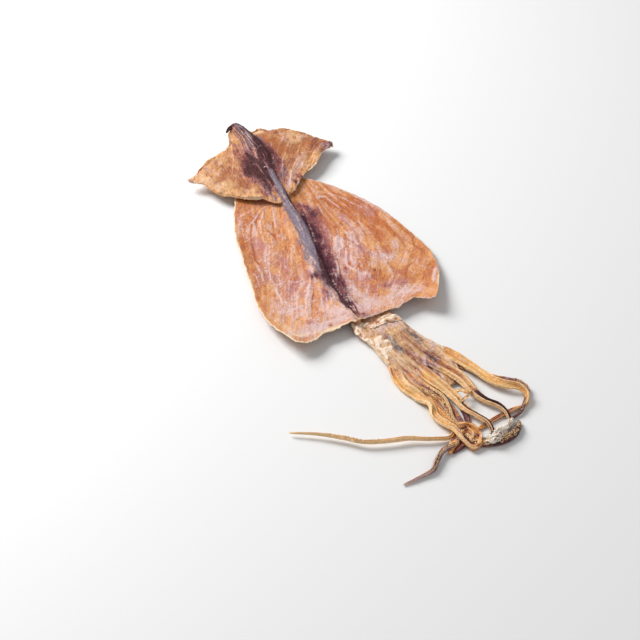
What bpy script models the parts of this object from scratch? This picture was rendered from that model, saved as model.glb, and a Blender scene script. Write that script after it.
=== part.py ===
"""A dried squid, opened flat and dried hard, as one solid named dried_squid.

The body is a leathery sheet, the mantle, with a raised keel down its middle. The two fins lie
over its narrow end and are gathered into folds at the tail tip. The head comes out under the
wide end, the rim, and splits into ten flat arms that bend and cross each other.

Shapes are worked out in millimetres from the middle of the rim: +Y towards the tail tip, +X to
the right seen from above, +Z up. The finished solid is moved so that its origin lies under the
middle of its box, and it is in metres.
"""

import math

import bpy
import numpy as np

# ------------------------------------------------------------------ driving sizes, millimetres
MM = 0.001
MANTLE_LENGTH = 215.0
MANTLE_THICKNESS = 2.1
FIN_THICKNESS = 1.6
EDGE_THICKNESS = 0.9
# The middle of the finished solid's box, across and along, which the origin lies under.
BOX_MIDDLE = (-0.12, 41.92)
# The lowest stretches are pressed flat where they lie: the solid is cut at this height.
FLOOR_HEIGHT = 0.55

# The mantle's half widths, left and right of the midline, at heights above the rim.
MANTLE_LEFT = ((0, 45.5), (20, 52.5), (36, 53.4), (62, 49.5), (90, 44.8), (118, 39.8),
               (145, 29.5), (165, 19), (190, 10), (MANTLE_LENGTH, 4))
MANTLE_RIGHT = ((0, 55.0), (18, 66.8), (32, 72.8), (47, 75.4), (74, 71.0), (100, 64.2),
                (125, 52.2), (143, 38.4), (157, 23), (180, 11), (MANTLE_LENGTH, 5))
# How far the wavy rim reaches up or down, at places across the mantle.
RIM_WAVE = ((-46, -4.5), (-38, -5.9), (-28, -3.2), (-20, -0.6), (0, 0.4), (20, 2.8),
            (32, 2.9), (43, 4.6), (50, 0.8), (56, -2.6))
RIM_REACH = 45.0
# The sheet thins towards the rim over this height.
RIM_THINNING = 5.0

# The height of the mantle's upper side along the midline, from the rim to the tail tip.
MIDLINE_HEIGHT = ((-8, 10.0), (0, 9.6), (22, 6.6), (45, 4.7), (80, 4.1), (112, 4.5),
                  (150, 7.3), (190, 10.5), (MANTLE_LENGTH, 13.0))
MIDLINE_PLACE = ((0, 0.0), (45, -1.0), (70, -0.2), (105, 3.6), (150, 3.7), (200, 2.2),
                 (MANTLE_LENGTH, -1.5))
TENT_RISE = 2.3
TENT_WIDTH = 10.0
EDGE_LIFT = 2.4
SHOULDER = (100.0, 40.0)
CORNER_LIFT = 2.0
CORNER_REACH = 24.0
# Broad swellings of the sheet: (across, along, rise, reach across, reach along).
SWELLINGS = ((30.0, 58.0, 1.6, 13.0, 24.0), (-20.0, 98.0, 0.9, 8.0, 26.0),
             (-24.0, 16.0, 1.0, 12.0, 9.0), (52.0, 20.0, -1.4, 9.0, 9.0))

# The keel: (height above the rim, half width, rise above the sheet).
KEEL = ((-1, 1.6, 0.7), (20, 2.0, 1.2), (45, 2.6, 1.9), (62, 4.0, 3.0), (95, 4.6, 3.8),
        (130, 4.0, 3.8), (155, 3.6, 3.0), (172, 6.5, 2.8), (190, 9.0, 2.8), (204, 6.5, 2.8),
        (214, 4.4, 3.2), (217, 3.4, 2.0))
KEEL_SUNK = 0.8
KEEL_DEPTH = 1.4
# Where the keel climbs onto the fins, and over what length.
KEEL_CLIMB = (128.0, 12.0)
TAIL_FOLDS = 4
TAIL_FOLD_DEPTH = 1.1
# Where the tail's folds begin, and over what length they deepen.
TAIL_FOLD_START = (150.0, 25.0)

# The fins' outer edges, as places across and along, from the left corner to the right one.
FIN_LEADING = ((-1.0, -52.0, 180.0), (-0.8, -44.5, 182.0), (-0.6, -33.5, 190.3),
               (-0.4, -21.5, 195.3), (-0.22, -12.0, 200.5), (-0.1, -7.4, 212.0),
               (0.0, -1.5, 215.5), (0.09, 4.0, 213.0), (0.16, 8.0, 207.5), (0.27, 14.5, 209.2),
               (0.38, 21.5, 204.6), (0.5, 29.5, 204.2), (0.7, 42.0, 196.6), (0.85, 51.0, 188.3),
               (1.0, 60.0, 180.5))
FIN_TRAILING = ((-1.0, -51.0, 176.5), (-0.8, -42.8, 170.5), (-0.66, -37.5, 158.0),
                (-0.5, -30.0, 151.5), (-0.33, -19.0, 142.6), (-0.18, -10.5, 139.8),
                (0.0, 0.0, 131.0), (0.12, 9.0, 136.0), (0.25, 15.5, 142.0), (0.5, 28.0, 153.8),
                (0.75, 42.0, 163.0), (0.9, 52.0, 173.2), (1.0, 59.0, 175.5))
FIN_OVER_MANTLE = 2.2
FIN_DROOP = 0.055
FIN_WAVE = 1.0
FIN_WAVE_LENGTHS = (5.5, 14.0)
# The fins are thicker at their root: how far it reaches to each side, and by how much.
FIN_ROOT = 20.0
FIN_ROOT_EXTRA = 0.9

# Strips: (across, along, height of the middle, width, thickness) from one end to the other.
TAIL_CURL = ((3.4, 205.0, 15.2, 5.0, 3.4), (1.4, 211.0, 16.0, 4.6, 3.2),
             (-2.2, 214.8, 16.0, 3.6, 2.6), (-5.8, 214.4, 15.4, 2.8, 2.2), (-9.6, 211.6, 14.6, 1.6, 1.5))
HEAD = ((9.0, 20.0, 3.0, 20.0, 3.6), (10.5, 8.0, 3.2, 26.0, 5.0), (12.8, -4.0, 3.1, 31.0, 5.8),
        (16.2, -18.0, 3.0, 32.0, 5.8), (19.6, -32.0, 2.8, 35.5, 5.2), (22.8, -43.0, 2.6, 41.0, 4.6),
        (26.0, -54.0, 2.3, 38.0, 3.4), (28.0, -63.0, 2.1, 31.0, 2.6), (29.0, -71.0, 1.8, 20.0, 1.8))
COLLAR_FLAP = ((0.6, 4.0, 5.4, 6.0, 1.8), (1.0, -3.0, 4.6, 7.5, 1.8), (2.6, -11.0, 3.8, 8.0, 1.8),
               (4.6, -18.0, 3.4, 6.5, 1.7), (5.4, -25.0, 3.0, 3.5, 1.5))
ARMS = {
    "outer": ((37, -32, 3.0, 9, 3.2), (43, -44, 3.4, 8.8, 3.2), (48.8, -57, 3.8, 7.8, 2.6),
              (53.6, -69, 4.2, 7.2, 2.4), (58.0, -79.5, 4.8, 6.2, 2.2), (63.5, -85.6, 5.2, 5.6, 2.0),
              (69.6, -89.8, 4.8, 4.8, 1.9), (72.3, -96.6, 3.6, 4.2, 1.8), (69.2, -102.4, 2.4, 3.6, 1.8),
              (61.0, -103.6, 1.6, 3.4, 1.8), (50.0, -105.0, 1.4, 3.2, 1.8), (40.0, -107.4, 1.3, 3.0, 1.8),
              (30.0, -110.6, 1.3, 2.6, 1.8)),
    "outer_back": ((40, -46, 1.6, 5.0, 2.4), (49, -60, 1.6, 5.0, 2.4), (59.6, -73.5, 1.9, 4.2, 2.4),
                   (67, -79.6, 2.4, 3.6, 2.4), (73.6, -86.0, 2.8, 3.0, 2.3),
                   (75.2, -92.0, 2.4, 2.7, 2.2), (71.6, -97.5, 1.5, 2.5, 2.0),
                   (66.4, -103.5, 3.0, 2.3, 1.9), (61.0, -108.2, 2.0, 2.0, 1.6),
                   (54.6, -109.8, 1.3, 1.6, 1.3)),
    "grooved": ((28, -36, 3.8, 10, 3.2), (31.6, -50, 4.2, 10, 3.2), (37.6, -61.5, 4.2, 9.4, 3.0),
                (41.4, -71.5, 3.8, 8.2, 2.8), (42.6, -81.0, 3.4, 6.4, 2.8), (46.0, -91.0, 3.4, 4.8, 2.6),
                (51.2, -99.0, 3.9, 3.6, 2.4), (53.0, -107.0, 3.8, 2.8, 2.2), (51.6, -114.0, 2.0, 2.4, 2.0),
                (45.0, -117.8, 1.3, 2.0, 1.7), (36.0, -119.0, 1.2, 1.7, 1.6), (28.0, -119.5, 1.8, 1.5, 1.4)),
    "striped": ((20, -40, 3.6, 9, 3.0), (22.0, -56, 4.0, 9, 3.0), (26.3, -70, 4.0, 8.2, 2.8),
                (29.5, -81, 3.6, 7.0, 2.6), (31.2, -92, 3.4, 5.2, 2.6), (35.0, -101.6, 3.8, 3.8, 2.4),
                (38.8, -109.6, 3.6, 3.0, 2.2), (38.4, -116.0, 2.2, 2.4, 2.0), (33.0, -119.8, 2.6, 2.0, 1.6)),
    "suckered": ((11, -42, 3.4, 8, 2.8), (12.6, -58, 3.6, 8, 2.8), (17.4, -70, 3.4, 7, 2.6),
                 (21.6, -79, 3.0, 6.0, 2.6), (21.8, -88, 2.6, 4.8, 2.4), (20.4, -97, 2.3, 3.8, 2.2),
                 (21.6, -104, 2.0, 3.0, 2.0)),
    "inner": ((6.5, -36, 3.2, 8, 3.0), (4.4, -49, 3.4, 8.0, 3.0), (5.4, -61, 3.2, 7.6, 2.8),
              (9.4, -72.2, 3.0, 7.0, 2.8), (12.8, -82, 3.4, 5.8, 2.8), (11.6, -89.6, 3.0, 5.0, 2.6),
              (13.6, -98, 3.4, 5.2, 2.4), (17.0, -107, 4.2, 4.8, 2.4), (18.2, -117, 3.6, 4.2, 2.4),
              (21.6, -124.0, 2.2, 3.4, 2.2), (26.6, -122.0, 2.4, 3.0, 2.0), (26.0, -115.0, 3.2, 2.6, 1.8)),
    "club_stalk": ((17, -48, 1.4, 5, 2.2), (21, -68, 1.3, 4, 2.2), (25, -88, 1.3, 3.2, 2.2),
                   (24.5, -104, 1.3, 3.0, 2.2), (23.0, -114, 1.6, 3.2, 2.2), (27.0, -121.6, 2.0, 4.0, 2.6),
                   (34, -123.6, 2.4, 5.0, 3.0), (42, -124.4, 2.6, 5.6, 3.4), (49.4, -122.8, 2.6, 5.2, 3.4),
                   (54.8, -118.4, 2.4, 4.0, 3.0), (57.6, -113.6, 2.0, 2.4, 2.0)),
    "tendril": ((14, -50, 1.3, 4.5, 2.2), (14.6, -70, 1.3, 4.4, 2.2), (16.6, -90, 1.3, 4.0, 2.2),
                (18.6, -103, 1.4, 3.0, 2.2), (13.4, -109.6, 2.2, 2.8, 2.2), (2.0, -107.8, 3.2, 2.6, 2.0),
                (-12, -102.0, 3.8, 3.0, 2.2), (-26, -98.6, 4.0, 3.0, 2.2), (-39, -93.6, 4.0, 2.8, 2.0),
                (-48, -86.2, 3.9, 2.8, 1.9), (-60, -77.4, 3.5, 2.0, 1.5), (-76.4, -68.2, 2.8, 1.2, 1.1)),
    "dark": ((15, -52, 1.3, 5, 2.0), (18, -72, 1.2, 4.4, 2.0), (20, -94, 1.2, 4.0, 2.0),
             (19.4, -110, 1.4, 3.8, 2.2), (12.6, -116.2, 2.4, 4.0, 2.6), (3.4, -118.6, 3.0, 4.0, 2.6),
             (-3.4, -124.2, 2.8, 3.6, 2.5), (-8.8, -129.6, 2.2, 3.0, 2.2), (-17.6, -131.2, 1.7, 2.2, 1.8),
             (-29.6, -132.6, 1.3, 1.2, 1.1)),
    "hidden": ((24, -50, 1.3, 5.5, 2.2), (30, -72, 1.2, 4.8, 2.2), (30.5, -94, 1.2, 4.2, 2.2),
               (26, -108, 1.2, 3.8, 2.2), (18, -117, 1.3, 4.4, 2.2), (9, -121.0, 1.2, 3.0, 1.8)),
}
# How each arm turns about its own length: (share of its length, degrees).
ARM_ROLL = {
    "outer": ((0, 0), (0.40, 8), (0.55, 40), (0.66, 75), (0.76, 20), (1, 0)),
    "inner": ((0, 0), (0.38, 10), (0.46, -45), (0.56, 5), (0.70, -30), (0.84, -60), (1, -20)),
    "suckered": ((0, 0), (0.5, 15), (0.8, 45), (1, 20)),
    "club_stalk": ((0, 0), (0.6, 0), (0.75, 25), (1, 35)),
}
NO_ROLL = ((0, 0), (1, 0))

# The largest suckers, in two rows along the club's outer stretch: shares of the club's length,
# the radius of the middle ones, the end ones' share of it, the rows' places as shares of the
# club's width, and how deep they sit as a share of their radius.
CLUB_SUCKERS = 9
CLUB_SPAN = (0.66, 0.95)
SUCKER_RADIUS = 1.25
END_SUCKER_SHARE = 0.7
SUCKER_ROWS = (-0.16, 0.24)
SUCKER_SUNK = 0.2

# How finely the solid is drawn: it stays coarse, so that it can be handled as a solid.
MANTLE_GRID = (24, 28)
# The mantle's columns crowd towards its edges, as a sine does up to this angle.
EDGE_CROWDING = math.pi / 2.2
KEEL_GRID = (30, 10)
FIN_GRID = (12, 34)
STRIP_SIDES = 8
HEAD_SIDES = 14
HEAD_SQUARENESS = 2.6
RINGS_PER_STATION = 2.4
FEWEST_RINGS = 6
SHARP_ANGLE = 40.0

FLESH_COLOUR = (0.50, 0.22, 0.075, 1.0)
FLESH_ROUGHNESS = 0.42


# ------------------------------------------------------------------ smooth values from stations
def through(stations, places):
    """A smooth curve through rows of (place, value, ...), read at the given places.

    Between two stations the curve is a cubic that has at each of them the slope of its
    neighbours' chord. The answer has one column for each value.
    """
    table = np.asarray(stations, dtype=float)
    known, values = table[:, 0], table[:, 1:]
    slopes = np.gradient(values, known, axis=0)
    places = np.clip(np.asarray(places, dtype=float), known[0], known[-1])
    left = np.clip(np.searchsorted(known, places) - 1, 0, len(known) - 2)
    span = (known[left + 1] - known[left])[..., None]
    f = (places - known[left])[..., None] / span
    from_left = (1 + 2 * f) * (1 - f) ** 2 * values[left] + f * (1 - f) ** 2 * span * slopes[left]
    from_right = f * f * (3 - 2 * f) * values[left + 1] + f * f * (f - 1) * span * slopes[left + 1]
    return from_left + from_right


def value_through(stations, places):
    """The single value of stations that have only one, at the given places."""
    return through(stations, places)[..., 0]


def along_route(points, count):
    """Evenly spaced rows on a smooth curve through points, whose first three columns are a place."""
    points = np.asarray(points, dtype=float)
    steps = np.linalg.norm(np.diff(points[:, :3], axis=0), axis=1)
    length = np.concatenate([[0.0], np.cumsum(steps)])
    stations = np.column_stack([length, points])
    return through(stations, np.linspace(0.0, length[-1], count))


def eased(value):
    """0 below 0, 1 above 1, and a smooth step between."""
    value = np.clip(value, 0.0, 1.0)
    return value * value * (3 - 2 * value)


# ------------------------------------------------------------------ heights of the sheets
def mantle_height(x, y, across):
    """The mantle's upper side: the midline's height, less the fall away from the keel, plus the
    broad swellings and the lift of the outer edges and lower corners, where across runs from -1
    at the left edge to 1 at the right one. The shoulders, under the fins, are not lifted."""
    offset = x - value_through(MIDLINE_PLACE, y)
    height = value_through(MIDLINE_HEIGHT, y) - TENT_RISE * (1 - np.exp(-((offset / TENT_WIDTH) ** 2)))
    below_shoulder = 1 - eased((y - SHOULDER[0]) / SHOULDER[1])
    height += EDGE_LIFT * np.abs(across) ** 4 * below_shoulder
    height += CORNER_LIFT * np.abs(across) ** 3 * np.exp(-((y / CORNER_REACH) ** 2))
    for cx, cy, rise, reach_x, reach_y in SWELLINGS:
        height += rise * np.exp(-(((x - cx) / reach_x) ** 2) - ((y - cy) / reach_y) ** 2)
    return height


def fin_height(x, y, across):
    """The fins' upper side: a little above the mantle's midline, drooping away from it, with
    soft waves that grow towards the outer corners."""
    midline = value_through(MIDLINE_HEIGHT, y) + FIN_OVER_MANTLE
    phase = x / FIN_WAVE_LENGTHS[0] + y / FIN_WAVE_LENGTHS[1]
    wave = FIN_WAVE * np.sin(phase) * np.abs(across) ** 1.5
    return midline - FIN_DROOP * np.abs(x) + wave


# ------------------------------------------------------------------ building meshes
def mesh_object(name, points, faces):
    mesh = bpy.data.meshes.new(name)
    mesh.from_pydata(np.asarray(points, dtype=float).tolist(), [], faces)
    mesh.validate()
    piece = bpy.data.objects.new(name, mesh)
    bpy.context.scene.collection.objects.link(piece)
    return piece


def sheet(name, top, thickness):
    """A closed solid from a grid of upper points (rows, columns, 3) and a thickness for each."""
    rows, columns = top.shape[:2]
    bottom = top.copy()
    bottom[..., 2] -= thickness
    points = np.concatenate([top.reshape(-1, 3), bottom.reshape(-1, 3)])
    upper = np.arange(rows * columns).reshape(rows, columns)
    lower = upper + rows * columns
    faces = []
    for r in range(rows - 1):
        for c in range(columns - 1):
            corners = ((r, c), (r, c + 1), (r + 1, c + 1), (r + 1, c))
            faces.append([int(upper[corner]) for corner in corners])
            faces.append([int(lower[corner]) for corner in reversed(corners)])
    border = [(0, c) for c in range(columns)] + [(r, columns - 1) for r in range(1, rows)]
    border += [(rows - 1, c) for c in range(columns - 2, -1, -1)]
    border += [(r, 0) for r in range(rows - 2, 0, -1)]
    for here, there in zip(border, border[1:] + border[:1]):
        faces.append([int(upper[there]), int(upper[here]), int(lower[here]), int(lower[there])])
    return mesh_object(name, points, faces)


def strip_frames(stations, roll, count):
    """Evenly spaced rows of a strip, each with its level and its upright direction, which turn
    about the strip's heading by the roll."""
    rows = along_route(stations, count)
    heading = np.gradient(rows[:, :3], axis=0)
    heading /= np.linalg.norm(heading, axis=1)[:, None]
    level = np.column_stack([-heading[:, 1], heading[:, 0], np.zeros(count)])
    level /= np.linalg.norm(level, axis=1)[:, None]
    upright = np.cross(heading, level)
    turn = np.radians(value_through(roll, np.linspace(0, 1, count)))[:, None]
    side = level * np.cos(turn) + upright * np.sin(turn)
    up = upright * np.cos(turn) - level * np.sin(turn)
    return rows, side, up


def strip(name, stations, sides=STRIP_SIDES, roll=NO_ROLL, squareness=2.0):
    """A flat tapering solid: a superellipse section carried along a smooth route."""
    count = max(FEWEST_RINGS, round(len(stations) * RINGS_PER_STATION))
    rows, side, up = strip_frames(stations, roll, count)
    angle = np.linspace(0, 2 * math.pi, sides, endpoint=False) + math.pi / sides
    power = 2.0 / squareness
    outward = np.sign(np.cos(angle)) * np.abs(np.cos(angle)) ** power
    upward = np.sign(np.sin(angle)) * np.abs(np.sin(angle)) ** power
    points = (rows[:, None, :3]
              + side[:, None, :] * (outward[None, :] * rows[:, 3:4] / 2)[..., None]
              + up[:, None, :] * (upward[None, :] * rows[:, 4:5] / 2)[..., None])
    index = np.arange(count * sides).reshape(count, sides)
    faces = [[int(index[r, (s + 1) % sides]), int(index[r, s]), int(index[r + 1, s]),
              int(index[r + 1, (s + 1) % sides])] for r in range(count - 1) for s in range(sides)]
    faces.append([int(i) for i in index[0]])
    faces.append([int(i) for i in reversed(index[-1])])
    return mesh_object(name, points.reshape(-1, 3), faces)


# ------------------------------------------------------------------ the pieces
def mantle():
    """The body sheet: rows from the rim to the tail tip, each from the left edge to the right.
    It thins out towards its edges."""
    rows, columns = MANTLE_GRID
    up = (MANTLE_LENGTH * np.linspace(0, 1, rows))[:, None]
    across = np.sin(np.linspace(-1, 1, columns) * EDGE_CROWDING)[None, :] / math.sin(EDGE_CROWDING)
    half = np.where(across < 0, value_through(MANTLE_LEFT, up), value_through(MANTLE_RIGHT, up))
    x = across * half + value_through(MIDLINE_PLACE, up) * (1 - across ** 2)
    fade = np.clip(1 - up / RIM_REACH, 0, 1) ** 2
    y = up + value_through(RIM_WAVE, x) * fade
    z = mantle_height(x, up + 0 * x, across + 0 * x)
    inside = (1 - np.abs(across) ** 6) * (1 - np.exp(-up / RIM_THINNING))
    thickness = EDGE_THICKNESS + (MANTLE_THICKNESS - EDGE_THICKNESS) * inside
    return sheet("mantle", np.stack([x, y, z], axis=-1), thickness)


def keel():
    """The raised ridge down the middle, gathered into lengthwise folds near the tail tip."""
    rows, columns = KEEL_GRID
    up = np.linspace(KEEL[0][0], KEEL[-1][0], rows)
    half, rise = through(KEEL, up).T
    across = np.linspace(-1, 1, columns)[None, :]
    x = value_through(MIDLINE_PLACE, up)[:, None] + across * half[:, None]
    climb = eased((up - KEEL_CLIMB[0]) / KEEL_CLIMB[1])
    base = value_through(MIDLINE_HEIGHT, up) + FIN_OVER_MANTLE * climb
    fold = np.clip((up - TAIL_FOLD_START[0]) / TAIL_FOLD_START[1], 0, 1)[:, None]
    ripple = TAIL_FOLD_DEPTH * fold * 0.5 * (np.cos(across * math.pi * TAIL_FOLDS) - 1)
    profile = (1 - across ** 2) ** 0.75
    z = base[:, None] - KEEL_SUNK + (rise[:, None] + KEEL_SUNK) * profile
    z += ripple * (1 - across ** 4)
    thickness = KEEL_DEPTH + z - z.min(axis=1)[:, None]
    return sheet("keel", np.stack([x, up[:, None] + 0 * x, z], axis=-1), thickness)


def fins():
    """Both fins as one sheet: straight rows from the trailing edge to the leading edge."""
    rows, columns = FIN_GRID
    across = np.linspace(-1, 1, columns)
    leading, trailing = through(FIN_LEADING, across), through(FIN_TRAILING, across)
    along = np.linspace(0, 1, rows)[:, None, None]
    plan = trailing[None] * (1 - along) + leading[None] * along
    x, y = plan[..., 0], plan[..., 1]
    z = fin_height(x, y, across[None, :] + 0 * x)
    thickness = np.where(np.abs(x) < FIN_ROOT, FIN_THICKNESS + FIN_ROOT_EXTRA, FIN_THICKNESS)
    return sheet("fins", np.stack([x, y, z], axis=-1), thickness)


def club_suckers():
    """Round cups in two rows on the upper side of the club, largest in the middle."""
    stations, roll = ARMS["club_stalk"], ARM_ROLL["club_stalk"]
    count = 200
    rows, side, up = strip_frames(stations, roll, count)
    cups = []
    for number, share in enumerate(np.linspace(*CLUB_SPAN, CLUB_SUCKERS)):
        at = round(share * (count - 1))
        row = rows[at]
        middle_out = 1 - abs(2 * number / (CLUB_SUCKERS - 1) - 1)
        radius = SUCKER_RADIUS * (END_SUCKER_SHARE + (1 - END_SUCKER_SHARE) * middle_out)
        sideways = SUCKER_ROWS[number % 2] * row[3]
        place = row[:3] + side[at] * sideways + up[at] * (row[4] / 2 - SUCKER_SUNK * radius)
        bpy.ops.mesh.primitive_ico_sphere_add(subdivisions=1, radius=radius, location=place)
        cup = bpy.context.object
        cup.name = f"club_sucker_{number}"
        cups.append(cup)
    return cups


def arms():
    return [strip(name, stations, roll=ARM_ROLL.get(name, NO_ROLL)) for name, stations in ARMS.items()]


# ------------------------------------------------------------------ joining and placing
def with_modifiers_applied(piece, name):
    """The piece's evaluated mesh in a new object, and the piece removed."""
    depsgraph = bpy.context.evaluated_depsgraph_get()
    mesh = bpy.data.meshes.new_from_object(piece.evaluated_get(depsgraph))
    mesh.name = name
    bpy.data.objects.remove(piece)
    body = bpy.data.objects.new(name, mesh)
    bpy.context.scene.collection.objects.link(body)
    return body


def fused(name, pieces):
    """One body from pieces that run into each other, by one exact union on their collection."""
    group = bpy.data.collections.new("fused_pieces")
    bpy.context.scene.collection.children.link(group)
    first, others = pieces[0], pieces[1:]
    for piece in others:
        group.objects.link(piece)
    join = first.modifiers.new("join", "BOOLEAN")
    join.operation = "UNION"
    join.operand_type = "COLLECTION"
    join.collection = group
    join.solver = "EXACT"
    body = with_modifiers_applied(first, name)
    for piece in list(group.objects):
        bpy.data.objects.remove(piece)
    bpy.data.collections.remove(group)
    return body


def flat_underneath(body, name):
    """The body cut flat where it would reach below the surface it lies on."""
    block = bpy.data.meshes.new("below_the_floor")
    reach, depth = 2 * MANTLE_LENGTH, 20.0
    corners = [(x, y, z) for z in (-depth, FLOOR_HEIGHT) for x, y in
               ((-reach, -reach), (reach, -reach), (reach, reach), (-reach, reach))]
    sides = [(0, 1, 5, 4), (1, 2, 6, 5), (2, 3, 7, 6), (3, 0, 4, 7)]
    block.from_pydata(corners, [], [(3, 2, 1, 0), (4, 5, 6, 7)] + sides)
    cutter = bpy.data.objects.new("below_the_floor", block)
    bpy.context.scene.collection.objects.link(cutter)
    cut = body.modifiers.new("cut", "BOOLEAN")
    cut.operation = "DIFFERENCE"
    cut.object = cutter
    cut.solver = "EXACT"
    body = with_modifiers_applied(body, name)
    bpy.data.objects.remove(cutter)
    return body


def place_in_metres(body):
    """Moves the solid so that its box stands over the origin, and turns millimetres to metres."""
    mesh = body.data
    points = np.empty(len(mesh.vertices) * 3, dtype=np.float32)
    mesh.vertices.foreach_get("co", points)
    points = points.reshape(-1, 3)
    points[:, 0] -= BOX_MIDDLE[0]
    points[:, 1] -= BOX_MIDDLE[1]
    points[:, 2] -= FLOOR_HEIGHT
    mesh.vertices.foreach_set("co", (points * MM).ravel())
    mesh.update()


def flesh():
    material = bpy.data.materials.new("dried_flesh")
    material.use_nodes = True
    shader = material.node_tree.nodes["Principled BSDF"]
    shader.inputs["Base Color"].default_value = FLESH_COLOUR
    shader.inputs["Roughness"].default_value = FLESH_ROUGHNESS
    return material


def main():
    for thing in list(bpy.data.objects):
        bpy.data.objects.remove(thing)
    pieces = [mantle(), fins(), keel(), strip("tail_curl", TAIL_CURL)]
    pieces += [strip("head", HEAD, HEAD_SIDES, squareness=HEAD_SQUARENESS)]
    pieces += [strip("collar_flap", COLLAR_FLAP)] + arms() + club_suckers()
    body = flat_underneath(fused("dried_squid", pieces), "dried_squid")
    place_in_metres(body)
    body.data.materials.clear()
    body.data.materials.append(flesh())
    body.data.shade_smooth()
    body.data.set_sharp_from_angle(angle=math.radians(SHARP_ANGLE))


main()
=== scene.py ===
# %% [markdown]
# A dried squid is a whole squid cut open down its belly, pressed flat and dried until it is as
# hard as thin leather. This lesson dresses the plain solid of one with its finished surfaces:
# the body sheet, the keel down its middle, the gathered fins, the head and the tangle of arms.
# Every surface is worked out with numpy as a function on a grid, and every finish is made of
# shader nodes that read masks painted onto those grids.

import math

import bpy
import numpy as np
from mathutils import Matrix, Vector


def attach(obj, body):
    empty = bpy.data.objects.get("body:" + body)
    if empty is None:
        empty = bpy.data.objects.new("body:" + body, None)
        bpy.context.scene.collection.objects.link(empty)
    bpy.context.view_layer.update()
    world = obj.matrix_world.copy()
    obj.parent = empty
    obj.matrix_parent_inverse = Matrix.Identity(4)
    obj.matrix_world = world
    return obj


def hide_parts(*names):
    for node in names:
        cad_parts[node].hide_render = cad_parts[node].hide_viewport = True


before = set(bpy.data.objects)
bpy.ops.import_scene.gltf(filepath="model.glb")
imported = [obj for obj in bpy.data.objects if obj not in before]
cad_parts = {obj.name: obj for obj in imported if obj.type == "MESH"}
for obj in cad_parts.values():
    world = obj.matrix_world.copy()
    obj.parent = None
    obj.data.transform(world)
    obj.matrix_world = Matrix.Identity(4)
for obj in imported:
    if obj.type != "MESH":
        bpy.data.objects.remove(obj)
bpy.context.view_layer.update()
MM = 0.001
NODE = "dried_squid"

# %% [markdown]
# Everything below is in millimetres from the middle of the body's rim, where the head comes
# out: +Y runs to the tail tip and +X to the right seen from above. A drawing made from a
# landmark on the animal is easier to think in than one made from the middle of a box, so one
# small function moves finished points over the frame's own origin and turns them to metres.

# %% The squid's own millimetres
# The middle of the solid's box, and the height of the face that it lies on.
BOX_MIDDLE = (-0.12, 41.92)
FLOOR_HEIGHT = 0.55
# No point lies lower than the first of these, and no strip lower than the second.
SHEET_LOWEST, STRIP_LOWEST = FLOOR_HEIGHT + 0.02, FLOOR_HEIGHT + 0.03


def placed(points):
    """Millimetres from the middle of the rim, turned to metres from the frame's origin."""
    shift = np.array([BOX_MIDDLE[0], BOX_MIDDLE[1], FLOOR_HEIGHT])
    return (np.asarray(points, dtype=float) - shift) * MM


print("the rim's middle lies at", placed((0, 0, FLOOR_HEIGHT)).round(4).tolist(), "m")

# %% [markdown]
# The camera comes first, so that every later step can be looked at from the view that matters.
# It stands over a metre away with a long lens, which flattens the perspective as a catalogue
# photographer would, and it looks down across the squid from its head side.

# %% Camera
CAMERA_DISTANCE = 1.1604
CAMERA_ELEVATION = math.radians(43.5)
CAMERA_TURN = math.radians(-23.2177)
LENS, SENSOR_WIDTH = 100.0, 36.0
AIM = (-18.735, 18.484, FLOOR_HEIGHT)

looking = Vector((-math.sin(CAMERA_TURN) * math.cos(CAMERA_ELEVATION),
                  math.cos(CAMERA_TURN) * math.cos(CAMERA_ELEVATION),
                  -math.sin(CAMERA_ELEVATION)))
to_the_right = Vector((math.cos(CAMERA_TURN), math.sin(CAMERA_TURN), 0.0))
away = Vector((-math.sin(CAMERA_TURN), math.cos(CAMERA_TURN), 0.0))
aim = Vector(placed(AIM))

camera_data = bpy.data.cameras.new("camera")
camera_data.lens = LENS
camera_data.sensor_width = SENSOR_WIDTH
camera = bpy.data.objects.new("camera", camera_data)
camera.location = aim - looking * CAMERA_DISTANCE
camera.rotation_euler = looking.to_track_quat("-Z", "Y").to_euler()
bpy.context.scene.collection.objects.link(camera)
bpy.context.scene.camera = camera
print("the camera stands", [round(v, 3) for v in camera.location])

# %% [markdown]
# Light in a food studio is one big soft box over the back of the table and a weak fill. The
# back light rakes over the dried skin and picks out its creases, and its size keeps the shadow
# soft. A pale world stands for the white walls of the room.

# %% Light
KEY_PLACE = (-0.80, 0.62, 0.85)
KEY_SIZE = 0.7
KEY_WATTS = 22.5
FILL_PLACE = (0.8, -0.5, 0.9)
FILL_SIZE = 1.4
FILL_WATTS = 2.0
WORLD_STRENGTH = 0.36


def soft_box(name, place, size, watts):
    """A square area light, set right, away and up of the aim, that looks at the aim."""
    light = bpy.data.lights.new(name, "AREA")
    light.shape = "SQUARE"
    light.size = size
    light.energy = watts
    lamp = bpy.data.objects.new(name, light)
    lamp.location = aim + to_the_right * place[0] + away * place[1] + Vector((0, 0, place[2]))
    lamp.rotation_euler = (aim - lamp.location).to_track_quat("-Z", "Y").to_euler()
    bpy.context.scene.collection.objects.link(lamp)
    return lamp


soft_box("key_light", KEY_PLACE, KEY_SIZE, KEY_WATTS)
soft_box("fill_light", FILL_PLACE, FILL_SIZE, FILL_WATTS)
world = bpy.data.worlds.new("pale_room")
world.use_nodes = True
world.node_tree.nodes["Background"].inputs["Color"].default_value = (1.0, 1.0, 1.0, 1.0)
world.node_tree.nodes["Background"].inputs["Strength"].default_value = WORLD_STRENGTH
bpy.context.scene.world = world
bpy.context.scene.view_settings.view_transform = "Standard"

# %% [markdown]
# Organic outlines are easiest to describe by a few stations with a smooth curve through them.
# The curve used here is a cubic between each two stations, whose slope at a station is that of
# its neighbours' chord. It passes through every station and doesn't overshoot much.

# %% Smooth curves through stations


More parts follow.
